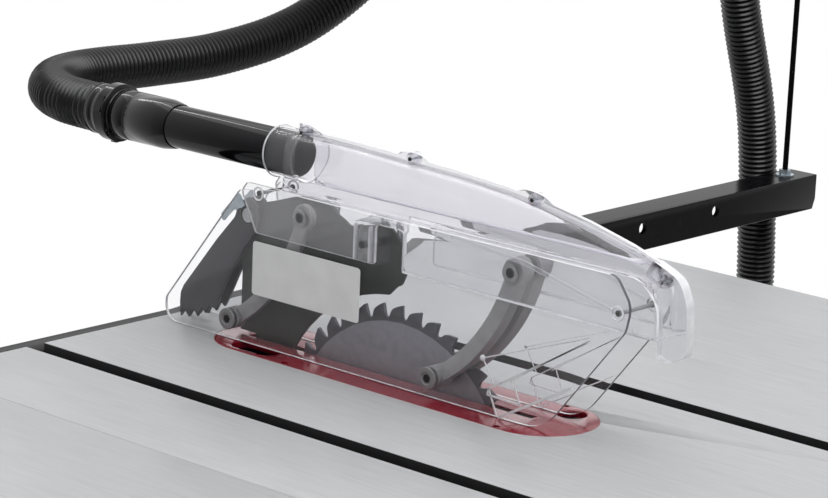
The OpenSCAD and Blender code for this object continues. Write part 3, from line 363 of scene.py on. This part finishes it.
def spline(points, step):
    """Smooth path through points with even steps, and its length, all in metres."""
    dense, cuts = [], 24
    for i in range(len(points) - 1):
        p0, p1 = points[max(i - 1, 0)], points[i]
        p2, p3 = points[i + 1], points[min(i + 2, len(points) - 1)]
        for k in range(cuts):
            t = k / cuts
            dense.append(0.5 * (2 * p1 + (p2 - p0) * t + (2 * p0 - 5 * p1 + 4 * p2 - p3) * t * t
                                + (3 * p1 - p0 - 3 * p2 + p3) * t ** 3))
    dense.append(points[-1])
    run = [0.0]
    for a, b in zip(dense, dense[1:]):
        run.append(run[-1] + (b - a).length)
    count = max(2, round(run[-1] / step))
    out, j = [], 0
    for k in range(count + 1):
        s = run[-1] * k / count
        while j < len(run) - 2 and run[j + 1] < s:
            j += 1
        out.append(dense[j].lerp(dense[j + 1], (s - run[j]) / max(run[j + 1] - run[j], 1e-9)))
    return out, run[-1]


# Hose, first because its place is checked against the view

HOSE_WAY = [
    (24, 426, 1025), (24, 440, 1025), (28, 475, 1025), (45, 512, 1025), (75, 542, 1025),
    (112, 560, 1024), (155, 566, 1023), (220, 568, 1021), (300, 566, 1022), (380, 560, 1034),
    (445, 553, 1059), (520, 540, 1110), (590, 512, 1180), (650, 468, 1252), (690, 434, 1290),
    (732, 407, 1307), (770, 400, 1310), (808, 394, 1300), (840, 388, 1265), (862, 386, 1215),
    (882, 385, 1140), (905, 385, 1038), (949, 385, 908), (965, 385, 772), (968, 385, 700),
    (965, 386, 640), (945, 385, 560), (905, 380, 480), (845, 370, 410), (770, 355, 350),
    (680, 330, 310), (590, 300, 290), (500, 265, 285), (420, 228, 294), (374, 212, 299),
    (345, 210, 300), (330, 210, 300)]
HOSE_R, RIB_PITCH = 21.2, 5.5
# Radius at four even steps along one rib
RIB = (HOSE_R, HOSE_R - 0.9, HOSE_R - 3.2, HOSE_R - 0.9)


def add_hose():
    path, length = spline([mm(*p) for p in HOSE_WAY], RIB_PITCH / len(RIB) / 1000)
    bm = bmesh.new()
    tube(bm, path, RIB, 11)
    hose = finish_piece(bm, "corrugated_hose", ["hose_rubber"], None, ["hose"], 60)
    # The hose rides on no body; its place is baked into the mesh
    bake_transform(hose)


add_hose()


# Carried-over solids with softened edges

# The mitre slots: distance from the middle of the table, a little over half the width, floor and top
MITRE_X, MITRE_HALF, MITRE_LOW, MITRE_TOP = 136.5, 9.7, 853, 863.6


def in_mitre_slot(centre):
    """The second material, with the painted slot shade, for a face in a mitre slot, the first for any other.
    """
    return int(abs(abs(centre.x) - MITRE_X) < MITRE_HALF and MITRE_LOW < centre.z < MITRE_TOP)


def dress(node, width, longer, mats=None, pick=None):
    """Copies a CAD node, softens its outward edges that are longer than a length in millimetres, and lets
    the copy stand for it; pick chooses a face's material from its centre in millimetres."""
    bm = bmesh.new()
    bm.from_mesh(frame["nodes"][node].data)
    bmesh.ops.remove_doubles(bm, verts=bm.verts, dist=2e-6)
    bmesh.ops.dissolve_limit(bm, angle_limit=math.radians(0.6), verts=bm.verts, edges=bm.edges)
    bm.normal_update()
    outward = [e for e in bm.edges if e.calc_length() > longer / 1000 and e.is_convex]
    soften(bm, width, 32, edges=outward)
    bm.normal_update()
    for f in bm.faces:
        f.material_index = pick(f.calc_center_median() * 1000) if pick else 0
    finish_piece(bm, node + "_finished", mats or [SLOT_OF[node]], BODY_OF[node], [node], 35)


# Faces inside the mitre slots take the painted slot shade
dress("main_table", 0.7, 12, ["cast_iron", "slot_shade_iron"], in_mitre_slot)
for node, width, longer in (
        ("left_wing", 0.7, 12), ("right_wing", 0.7, 12), ("plinth", 2.5, 20), ("cabinet_shell", 1.2, 30),
        ("rear_rail", 0.9, 3), ("front_rail", 2.0, 20), ("fence_tube", 3.0, 20), ("tube_caps", 1.0, 8),
        ("motor_door", 1.2, 20), ("switch_box", 2.0, 20), ("stop_paddle", 1.5, 20),
        ("table_insert", 0.7, 1.5), ("front_trunnion", 1.5, 15), ("rear_trunnion", 1.5, 15),
        ("arbor_bracket", 1.5, 12), ("riving_knife", 0.35, 1)):
    dress(node, width, longer)
for node in ("left_pawl", "right_pawl"):
    dress(node, 0.4, 2, ["pawl_steel"])


# Guard hood: points are (y, z) in the guard's side plane, and corners have a radius too

REAR_PIVOT, FRONT_PIVOT = Vector((96.6, 115.5)), Vector((-125.8, 114.4))
LATCH_PIN, PAWL_PIVOT = Vector((27.8, 106.7)), Vector((166, 103))
RIDGE = [(118, 180), (60, 179), (10, 177), (-47, 175), (-103, 171), (-147, 165.5), (-184, 159), (-224, 149.5),
         (-252, 141), (-262, 134.5)]
SHOULDER = [(118, 136), (-236, 136), (-250, 134), (-262, 126.5)]
HALF_WIDTH = [(118, 19.5), (92, 16), (70, 14.5), (-200, 14.5), (-252, 13)]
RIDGE_SCREWS = [(112, 181), (-6, 180), (-131, 170), (-257, 131)]
SPACERS = [(143.8, 127), (-230, 104.5)]
WALL = [(146.4, 93.6, 4), (164, 126.5, 6), (158, 134.2, 4), (116, 134.2, 0), (-249, 134.2, 22),
        (-266, 117, 22), (-266.6, 90.9, 5), (-15.5, 92.4, 3), (-15.5, 126, 4), (14, 126, 4), (14, 93.2, 3)]
CREASE = [(-66, 133.6), (-140, 127), (-226, 107), (-226, 103.8), (-140, 123.4), (-66, 130.4)]
RIM_BEAD = [(-260, 90.8), (-16.5, 92.5), (-16.5, 93.9), (-260, 92.2)]
NOSE = [(-258, 133.6), (-262.6, 129.6), (-265.4, 121), (-266.4, 108), (-266.4, 91), (-264, 91), (-264, 108),
        (-263.1, 120), (-260.6, 127.4), (-257, 130.6)]
NOSE_FLANGE = [(-248, 145.5, 2), (-263, 140, 20), (-273.5, 134.5, 20), (-280.5, 119, 30), (-282, 98, 20),
               (-281, 79, 5), (-266, 70.5, 5), (-256, 72, 4), (-252.5, 107, 10), (-247, 124, 8),
               (-241, 134, 3)]
# Inner and outer face of the walls, from the blade's plane
WALL_IN, WALL_OUT = 18, 20.5
# Moulded details start a little under the face that they stand on, and ribs stand this far over it
SUNK, RIB_UP = 0.1, 0.7
# The halves meet at the blade's plane, each this far from it
SEAM = 0.05
# Ends of the duct and thickness of its skin
DUCT_REAR, DUCT_FRONT, DUCT_SKIN = 118, -260, 2.2
# The ridge flange: its front end, how far it stands over the ridge and how far it reaches below it
FLANGE_FRONT, FLANGE_UP, FLANGE_DOWN = -254, 3.8, 2
# Half length and height of the flange's humps
HUMP_HALF, HUMP_UP = 16, 4.2
# In every clear piece the second material is the painted edge highlight
HIGHLIGHT_EDGE = 1


def along(line, y):
    """Height of a line of (y, z) points, listed from rear to front."""
    for (y0, z0), (y1, z1) in zip(line, line[1:]):
        if y >= y1:
            return z0 + (z1 - z0) * (y0 - y) / (y0 - y1)
    return line[-1][1]


def thickened(line, inward):
    """Closed section of a skin: the outer line and the same line moved inward."""
    inner = []
    for i, p in enumerate(line):
        t = (line[min(i + 1, len(line) - 1)] - line[max(i - 1, 0)]).normalized()
        inner.append(p + Vector((-t.y, t.x)) * inward)
    return line + inner[::-1]


def edged(faces):
    """Gives the rim of a plate the painted edge highlight."""
    for f in faces[2:]:
        f.material_index = HIGHLIGHT_EDGE


def duct_section(y):
    """Half of the duct's outer line, from the foot on the wall over the shoulder to the ridge."""
    top, low, half = along(RIDGE, y), along(SHOULDER, y), along(HALF_WIDTH, y)
    tall = top - low
    return [Vector(p) for p in (
        (WALL_OUT, low - 1.6), (20.4, low - 0.3), (19.9, low + 0.5), (19.0, low + 0.9),
        (half + 1.6, low + 1.1), (half + 0.5, low + 1.6), (half, low + 2.8), (half - 0.1, low + 0.4 * tall),
        (half - 0.6, top - min(11, 0.42 * tall)), (half - 2.2, top - min(6.5, 0.26 * tall)),
        (half - 5, top - min(3.2, 0.14 * tall)), (half - 8.5, top - 1.2), (2.0, top))]


def add_hood(s, name, node):
    """One half of the hood; s is -1 on the left and 1 on the right."""
    duct, flange = 2, 3
    foot = WALL_OUT - SUNK
    bm = bmesh.new()
    edged(plate(bm, rounded(WALL), s * WALL_IN, s * WALL_OUT))
    # Moulded crease that runs down to the front spacer, in the painted edge highlight
    edged(plate(bm, CREASE, s * foot, s * (WALL_OUT + RIB_UP)))
    plate(bm, RIM_BEAD, s * (WALL_IN - 0.3), s * (WALL_OUT + 0.4), HIGHLIGHT_EDGE)
    # Boss round each spacer, in the painted edge highlight
    boss = [(foot, 4.6), (foot, 6), (21.4, 5.8), (21.4, 4.8), (foot, 4.6)]
    for y, z in SPACERS:
        turned(bm, boss, guard(0, y, z), (s, 0, 0), 28, HIGHLIGHT_EDGE)
    stations = range(DUCT_REAR, DUCT_FRONT - 1, -6)
    sections = [(y, thickened(duct_section(y), DUCT_SKIN)) for y in stations]
    bridged(bm, [[bm.verts.new(guard(s * p.x, y, p.y)) for p in line] for y, line in sections], duct)
    # Ridge flange with a hump at each screw but the one in the nose
    top, low = [], []
    for y in range(DUCT_REAR, FLANGE_FRONT - 1, -3):
        hump = max(0.0, max(1 - ((y - q[0]) / HUMP_HALF) ** 2 for q in RIDGE_SCREWS[:3])) ** 0.5
        top.append(Vector((y, along(RIDGE, y) + FLANGE_UP + HUMP_UP * hump)))
        low.append(Vector((y, along(RIDGE, y) - FLANGE_DOWN)))
    edged(plate(bm, top + low[::-1], s * SEAM, s * 1.9))
    screw_boss = [(0.1, 0), (0.1, 5.2), (4.2, 5), (5.2, 4.2), (5.2, 0)]
    for y, z in RIDGE_SCREWS:
        turned(bm, screw_boss, guard(0, y, z), (s, 0, 0), 24, duct)
    # Blunt nose and the flange that joins the halves in front of it
    plate(bm, NOSE, s * 2.2, s * foot)
    edged(plate(bm, rounded(NOSE_FLANGE), s * SEAM, s * 4.6, flange))
    soften(bm, 0.5, 50)
    finish_piece(bm, name, ["clear_hood", "painted_edge_highlight", "clear_duct", "clear_plastic"], "cradle", [node], 32)


add_hood(-1, "hood_shell_left", "hood_left")
add_hood(1, "hood_shell_right", "hood_right")


def add_port():
    """Round port that holds the dust tube, with a lip at each end."""
    bm = bmesh.new()
    ring = [(108, 18.2), (108, 21.2), (108.4, 21.6), (110.6, 21.6), (111.4, 21), (136.6, 21), (137.2, 21.6),
            (139.6, 21.6), (140, 21.2), (140, 18.2), (108, 18.2)]
    turned(bm, ring, guard(0, 0, TUBE_Z), (0, 1, 0), 64)
    # One lip takes the milky hood material, the other the painted edge highlight
    for y, wide, mat in ((108, 0.6, 2), (139.1, 0.9, HIGHLIGHT_EDGE)):
        lip = [(y, 20.9), (y, 21.9), (y + wide, 21.9), (y + wide, 20.9), (y, 20.9)]
        turned(bm, lip, guard(0, 0, TUBE_Z), (0, 1, 0), 64, mat)
    finish_piece(bm, "hood_port", ["clear_plastic", "painted_edge_highlight", "clear_hood"], "cradle", (), 32)


add_port()


# Shields, link arms, latch, pins and springs

SHIELD = [(-168, 0.6, 40), (246, 0.6, 13), (246, 20, 10), (162, 128, 8), (120, 134, 6), (-230, 134, 12),
          (-245, 113, 18), (-241, 93, 16)]
# Inner and outer face of the shields, from the blade's plane
SHIELD_IN, SHIELD_OUT = 22, 25
# In front of this the shield's edge takes the painted shade
FRONT_SHADE_Y = -166
# Moulded ribs of the lead-in at the front foot: both ends and the width
LEAD_IN = [
    ((-106.5, 44.2), (-210, 82.3), 1.0), ((-126.3, 28.7), (-208, 78.4), 1.3),
    ((-134, 31.6), (-210, 80.6), 1.1), ((-107, 44), (-118.4, 26.9), 0.8),
    ((-114.2, 21.7), (-127, 29), 1.5), ((-112.7, 16.4), (-145.9, 15.5), 1.5),
    ((-137.6, 33.6), (-145.6, 15.6), 1.1), ((-114, 21.6), (-123.4, 0.8), 1.2),
    ((-125, 0.8), (-194.9, 40.2), 2.0), ((-112.7, 16.4), (-114.3, 22), 1.5)]


def add_shield(s, body, rib):
    """One side shield; rib scales the width of its moulded ribs."""
    rim_shade = 2
    foot = SHIELD_OUT - SUNK
    bm = bmesh.new()
    faces = plate(bm, rounded(SHIELD, 8), s * SHIELD_IN, s * SHIELD_OUT)
    bm.normal_update()
    for f in faces[2:]:
        # Rim faces toward the front take the painted shade, the others the painted edge highlight
        f.material_index = rim_shade if f.calc_center_median().y < (ARBOR_Y + FRONT_SHADE_Y) / 1000 else HIGHLIGHT_EDGE
    soften(bm, 0.4, 60)
    # The lead-in ribs and the knob carry the painted edge highlight
    for a, b, wide in LEAD_IN:
        a, b = Vector(a), Vector(b)
        side = Vector((a.y - b.y, b.x - a.x)).normalized() * wide * rib / 2
        plate(bm, [a + side, b + side, b - side, a - side], s * foot, s * (SHIELD_OUT + RIB_UP), HIGHLIGHT_EDGE)
    knob = [(foot, 0), (foot, 2.6 * rib), (26, 2.2 * rib), (26.5, 1.2 * rib), (26.6, 0)]
    turned(bm, knob, guard(0, *LEAD_IN[0][0]), (s, 0, 0), 20, HIGHLIGHT_EDGE)
    finish_piece(bm, body + "_plate", ["clear_plastic", "painted_edge_highlight", "painted_shade_edge"], body, [body], 32)


add_shield(-1, "left_shield", 1)
add_shield(1, "right_shield", 0.5)


def add_film():
    """Bare film on the outer face of the left shield."""
    outline = rounded([(24, 43.5, 3), (144, 43.5, 3), (144, 88.5, 3), (24, 88.5, 3)])
    bm = bmesh.new()
    plate(bm, outline, -SHIELD_OUT - 0.05, -SHIELD_OUT - 0.3)
    soften(bm, 0.08, 60, 1)
    finish_piece(bm, "blank_label", ["white_plate"], "left_shield", (), 35)


add_film()


# From an arm's upper pivot to its lower one, its bow sideways from that line, and half its width
REACH, BOW, ARM_HALF = Vector((74.2, -98.8)), 12.0, 6.5
# Inner and outer faces of the arms, from the blade's plane: the front pair is thicker
FRONT_INNER, REAR_INNER, ARM_OUTER = 4, 11, 17


def arm_band(p, steps=28):
    """Outline of a bowed arm from its upper pivot p to its lower one."""
    size = REACH.length
    bend = (size * size / 4 + BOW * BOW) / (2 * BOW)
    side = Vector((REACH.y, -REACH.x)) / size
    hub = REACH / 2 - side * (bend - BOW)
    a0 = math.atan2(-hub.y, -hub.x)
    a1 = math.atan2(REACH.y - hub.y, REACH.x - hub.x)
    angles = [a0 + (a1 - a0) * k / steps for k in range(steps + 1)]
    rays = [Vector((math.cos(a), math.sin(a))) for a in angles]
    outer = [p + hub + v * (bend + ARM_HALF) for v in rays]
    inner = [p + hub + v * (bend - ARM_HALF) for v in rays]
    return outer + inner[::-1]


# In every piece with a screw's recess the second material is the recess's painted shade
SOCKET = 1
ROOT_3 = 1.732


def hex_socket(bm, at, axis, across, depth):
    """Six-sided recess, drawn as a dark inlay of painted shade; across is its size between flats."""
    corner = across / ROOT_3
    turned(bm, [(0, 0), (0, corner), (depth, corner), (depth, 0)], at, axis, 6, SOCKET)


def add_arm(s, p, body, inner):
    bm = bmesh.new()
    plate(bm, arm_band(p), s * inner, s * ARM_OUTER)
    soften(bm, 0.9, 50)
    q = p + REACH
    eye = [(inner, 4.05), (inner, 9.9), (inner + 0.6, 10.5), (16.4, 10.5), (ARM_OUTER, 9.9),
           (ARM_OUTER, 8.2), (16.5, 7.8), (16.5, 4.05)]
    turned(bm, eye, guard(0, *p), (s, 0, 0), 40)
    foot = [(inner, 0), (inner, 8.4), (inner + 0.6, 9), (21.2, 9), (21.7, 8.5), (21.7, 4), (25.3, 4),
            (25.3, 8.4), (25.9, 9), (26.8, 9), (27.3, 8.5), (27.3, 5.4), (26.6, 4.9), (26.6, 0)]
    turned(bm, foot, guard(0, *q), (s, 0, 0), 40)
    hex_socket(bm, guard(s * 26.5, *q), (s, 0, 0), 6.4, 0.35)
    finish_piece(bm, body + "_link", ["grey_plastic", "socket_painted_shade"], body, [body], 35)


for s, hand in ((-1, "left"), (1, "right")):
    add_arm(s, FRONT_PIVOT, hand + "_front_arm", FRONT_INNER)
    add_arm(s, REAR_PIVOT, hand + "_rear_arm", REAR_INNER)


def add_pins():
    """Arm pins with their washers, ridge screws, and spacer rods with their screws."""
    plastic, zinc = 2, 3
    bm = bmesh.new()
    washer = [(20.55, 4.3), (20.55, 7.4), (20.9, 7.7), (21.1, 7.4), (21.1, 4.3), (20.55, 4.3)]
    ridge_head = [(5.3, 0), (5.3, 1.7), (6, 1.7), (6.4, 1.4), (6.4, 0.9), (5.9, 0.7), (5.9, 0)]
    spacer_head = [(18.5, 0), (18.5, 2.4), (20.2, 2.4), (20.6, 2), (20.6, 0)]
    for s in (-1, 1):
        for p, inner in ((REAR_PIVOT, REAR_INNER), (FRONT_PIVOT, FRONT_INNER)):
            pin = [(inner - 2.3, 0), (inner - 2.3, 6.6), (inner - 1.9, 7), (inner - 0.3, 7), (inner - 0.3, 4),
                   (18, 4), (21.0, 4), (21.2, 3.6), (21.3, 0)]
            turned(bm, pin, guard(0, *p), (s, 0, 0), 32)
            hex_socket(bm, guard(s * 21.25, *p), (s, 0, 0), 4.4, 0.1)
            turned(bm, washer, guard(0, *p), (s, 0, 0), 32, plastic)
        for y, z in RIDGE_SCREWS:
            turned(bm, ridge_head, guard(0, y, z), (s, 0, 0), 20)
        for y, z in SPACERS:
            turned(bm, spacer_head, guard(0, y, z), (s, 0, 0), 20)
    for y, z in RIDGE_SCREWS:
        turned(bm, [(-5.6, 0), (-5.6, 0.8), (5.6, 0.8), (5.6, 0)], guard(0, y, z), (1, 0, 0), 12, zinc)
    for y, z in SPACERS:
        turned(bm, [(-18.4, 0), (-18.4, 1.6), (18.4, 1.6), (18.4, 0)], guard(0, y, z), (1, 0, 0), 16, plastic)
    finish_piece(bm, "guard_screws", ["black_steel", "socket_painted_shade", "grey_plastic", "zinc_steel"], "cradle",
                 ["guard_pins"], 35)


add_pins()


def add_latch():
    milky, steel = 2, 3
    outer = 15
    foot = outer - SUNK
    bm = bmesh.new()
    block = rounded([(15, 91, 2.5), (41, 91, 2.5), (41, 124, 2.5), (15, 124, 2.5)])
    panel = rounded([(16, 98, 1), (40, 98, 1), (40, 117, 1), (16, 117, 1)], 3)
    for s in (-1, 1):
        plate(bm, block, s * 1.3, s * outer)
        # Moulded columns on the outer face; every other one carries the painted edge highlight
        for y, mat in ((17.5, milky), (22.5, HIGHLIGHT_EDGE), (33, milky), (38.5, HIGHLIGHT_EDGE)):
            corners = [(y - 0.9, 93, 0.8), (y + 0.9, 93, 0.8), (y + 0.9, 122, 0.8), (y - 0.9, 122, 0.8)]
            plate(bm, rounded(corners, 3), s * foot, s * 17.8, mat)
        plate(bm, panel, s * foot, s * 16.4, milky)
    soften(bm, 0.7, 50)
    pin = [(-21.4, 0), (-21.4, 2.6), (-21.1, 3), (21.1, 3), (21.4, 2.6), (21.4, 0)]
    turned(bm, pin, guard(0, *LATCH_PIN), (1, 0, 0), 24, steel)
    finish_piece(bm, "latch_block", ["clear_plastic", "painted_edge_highlight", "clear_hood", "black_steel"], "cradle",
                 ["guard_latch"], 32)


add_latch()


def add_springs():
    """A coil round the pawl pin and a bent strip on each side."""
    black = 1
    coil_r, wire_r, turn_steps, steps = 7.6, 0.75, 24, 54
    start, inner, spread = 0.8, 8.9, 1.0
    strip = rounded([(169, 110, 2), (177, 121, 3), (191, 106.5, 2), (198, 98.5, 2), (194, 92, 2),
                     (190, 97, 1), (183, 104, 2)])
    bm = bmesh.new()
    for s in (-1, 1):
        coil = []
        for k in range(steps + 1):
            t = 2 * math.pi * k / turn_steps + start
            at = PAWL_PIVOT + coil_r * Vector((math.cos(t), math.sin(t)))
            coil.append(guard(s * (inner + spread * k / steps), *at))
        path, _ = spline(coil, 0.0012)
        tube(bm, path, [wire_r], 2, black)
        plate(bm, strip, s * 8.7, s * 9.6)
    finish_piece(bm, "torsion_springs", ["zinc_steel", "black_steel"], "cradle", ["pawl_spring"], 60)


add_springs()


# Blade with gullets and brazed tips

TEETH, BLADE_R, BLADE_T = 40, 127.0, 2.2
TOOTH_PITCH = 2 * math.pi / TEETH
# Share of the pitch and depth below the rim, from a tip over its back into the next gullet
TOOTH = [(0.0, 0.0), (0.10, 0.6), (0.28, 2.0), (0.46, 3.6), (0.56, 5.2), (0.62, 7.2), (0.68, 9.6),
         (0.75, 11.2), (0.82, 11.4), (0.89, 10.0), (0.95, 7.0), (0.985, 3.5)]
# A brazed tip's corners, as depth below the rim and angle past the tooth's point, and half its width
TIP = [(8.5, -0.06 * TOOTH_PITCH), (0.1, -0.005), (0.5, 0.10 * TOOTH_PITCH), (8.0, 0.13 * TOOTH_PITCH)]
TIP_HALF = 1.55
# Inner radius of the toothed rim, of the polished plate, and of the bore
BELTS = (113, 26, 7.99)


def add_blade():
    polished, carbide = 1, 2
    bm = bmesh.new()

    def on_blade(radius, angle):
        return Vector((-radius * math.cos(angle), ARBOR_Z + radius * math.sin(angle)))

    def corner(radius, share):
        return bm.verts.new(guard(-BLADE_T / 2, *on_blade(radius, share * TOOTH_PITCH)))

    # One tooth's sector of the plate, spun round the arbor and then given its thickness
    edge = [corner(BLADE_R - drop, share) for share, drop in TOOTH] + [corner(BLADE_R, 1)]
    belts = [[corner(radius, share) for share in (0, 1)] for radius in BELTS]
    bm.faces.new(edge + belts[0][::-1])
    for (a, b), (c, d) in zip(belts, belts[1:]):
        bm.faces.new((a, b, d, c)).material_index = polished
    sector = bm.verts[:] + bm.edges[:] + bm.faces[:]
    bmesh.ops.spin(bm, geom=sector, cent=guard(0, 0, ARBOR_Z), axis=(1, 0, 0), dvec=(0, 0, 0),
                   angle=2 * math.pi - TOOTH_PITCH, steps=TEETH - 1, use_merge=False, use_duplicate=True)
    bmesh.ops.remove_doubles(bm, verts=bm.verts, dist=1e-6)
    side = bmesh.ops.extrude_face_region(bm, geom=bm.faces[:])["geom"]
    moved = [v for v in side if isinstance(v, bmesh.types.BMVert)]
    bmesh.ops.translate(bm, verts=moved, vec=mm(BLADE_T, 0, 0))
    for i in range(TEETH):
        tip = [on_blade(BLADE_R - drop, i * TOOTH_PITCH + turn) for drop, turn in TIP]
        plate(bm, tip, -TIP_HALF, TIP_HALF, carbide)
    finish_piece(bm, "saw_blade", ["blade_steel", "blade_plate", "carbide"], "arbor", ["blade"], 30)


add_blade()


# Dust tube and cuffs: (distance along the tube, radius) points

DUST_TUBE = [(117, 16), (117, 17.6), (117.5, 18), (284.6, 18), (285, 17.6), (285, 16), (117, 16)]
TUBE_CUFF = [(260, 18.1), (260, 18.9), (262, 19.6), (270, 20.9), (273, 21.3), (308, 21.3), (308.5, 20.9),
             (309.5, 20.9), (310, 21.3), (325.4, 21.3), (326, 20.8), (326, 16), (285.5, 16), (285.5, 18.1),
             (260, 18.1)]
HOSE_CUFF = [(326.1, 16), (326.1, 21.4), (326.8, 22), (329.4, 22), (330, 24.4), (330.6, 25), (340.4, 25),
             (341, 24.4), (341.6, 22.3), (346, 22), (347, 21.4), (349, 21.4), (350, 22), (354, 22),
             (355, 21.4), (357, 21.4), (357.6, 22), (358.6, 22), (359, 21.6), (359, 16), (326.1, 16)]
# Bayonet tabs on the hose cuff's collar: their foot's radius and their height
TAB_R, TAB_UP = 24.6, 1.6


def add_tube(node, mat, ring, tabs=()):
    bm = bmesh.new()
    turned(bm, ring, guard(0, 0, TUBE_Z), (0, 1, 0), 72)
    for degrees in tabs:
        t = math.radians(degrees)
        foot = [bm.verts.new(guard(TAB_R * math.cos(t + w), y, TUBE_Z + TAB_R * math.sin(t + w)))
                for w, y in ((-0.3, 332), (0.3, 332), (0.3, 339), (-0.3, 339))]
        drawn_out(bm, bm.faces.new(foot), mm(TAB_UP * math.cos(t), 0, TAB_UP * math.sin(t)))
    finish_piece(bm, node + "_finished", [mat], "cradle", [node], 40)


add_tube("dust_tube", "black_plastic", DUST_TUBE)
add_tube("tube_cuff", "matt_black_plastic", TUBE_CUFF)
add_tube("hose_cuff", "matt_black_plastic", HOSE_CUFF, (35, 155, 275))


# Every solid takes its slot's material, for those that still show
for node, obj in frame["nodes"].items():
    obj.data.materials.clear()
    obj.data.materials.append(MATS[SLOT_OF[node]])


# Floor, light and background

def add_floor():
    bm = bmesh.new()
    disc = [(0, 0), (0, 1500), (-4, 1504), (-12, 1504), (-12, 0)]
    # Just clear of the plinth's underside
    turned(bm, disc, mm(0, 0, -0.2), (0, 0, 1), 128)
    floor = new_object(bm, "floor", ["floor_paint"])


def add_light(name, place, aim, size, power):
    data = bpy.data.lights.new(name, "AREA")
    data.shape = "RECTANGLE"
    data.size, data.size_y = size
    data.energy = power
    lamp = bpy.data.objects.new(name, data)
    lamp.location = place
    lamp.rotation_euler = (Vector(aim) - Vector(place)).to_track_quat("-Z", "Y").to_euler()
    bpy.context.scene.collection.objects.link(lamp)


def add_world():
    world = bpy.data.worlds.new("studio")
    bpy.context.scene.world = world
    world.use_nodes = True
    tree = world.node_tree
    tree.nodes.clear()
    path = add(tree, "ShaderNodeLightPath")
    # A bright studio wall behind the saw and a dim room in front of it, which gloss shows too
    bright_way = (0.7, 0.6, 0.35)
    place = add(tree, "ShaderNodeTexCoord")
    facing = add(tree, "ShaderNodeVectorMath", [(0, place.outputs["Generated"])], operation="DOT_PRODUCT")
    facing.inputs[1].default_value = bright_way
    glow = add(tree, "ShaderNodeMapRange", [("Value", facing.outputs["Value"])],
               From_Min=-0.6, From_Max=0.8, To_Min=0.14, To_Max=0.9)
    gloss = add(tree, "ShaderNodeMath", [(0, path.outputs["Is Glossy Ray"]), (1, glow.outputs["Result"])],
                operation="MULTIPLY")
    clear = add(tree, "ShaderNodeMath",
                [(0, path.outputs["Is Camera Ray"]), (1, path.outputs["Is Transmission Ray"])],
                operation="MAXIMUM")
    seen = add(tree, "ShaderNodeMath", [(0, clear.outputs[0]), (1, gloss.outputs[0])], operation="MAXIMUM")
    soft = add(tree, "ShaderNodeBackground", [("Strength", glow.outputs["Result"])], Color=srgb("F4F5F8"))
    plain = add(tree, "ShaderNodeBackground", Color=(1, 1, 1, 1), Strength=1.0)
    both = add(tree, "ShaderNodeMixShader",
               [("Fac", seen.outputs[0]), (1, soft.outputs[0]), (2, plain.outputs[0])])
    add(tree, "ShaderNodeOutputWorld", [("Surface", both.outputs[0])])


add_floor()
add_light("key", (-0.5, -1.3, 3.2), (0.1, 0.1, 0.9), (2.4, 2.4), 60)
add_light("strip", (0.63, 2.0, 3.0), (0.02, 0.3, 1.0), (0.1, 2.6), 8)
add_light("top", (0.6, 0.6, 3.6), (0.2, 0.1, 0.9), (3.0, 3.0), 30)
add_world()
bpy.context.scene.view_settings.view_transform = "Standard"
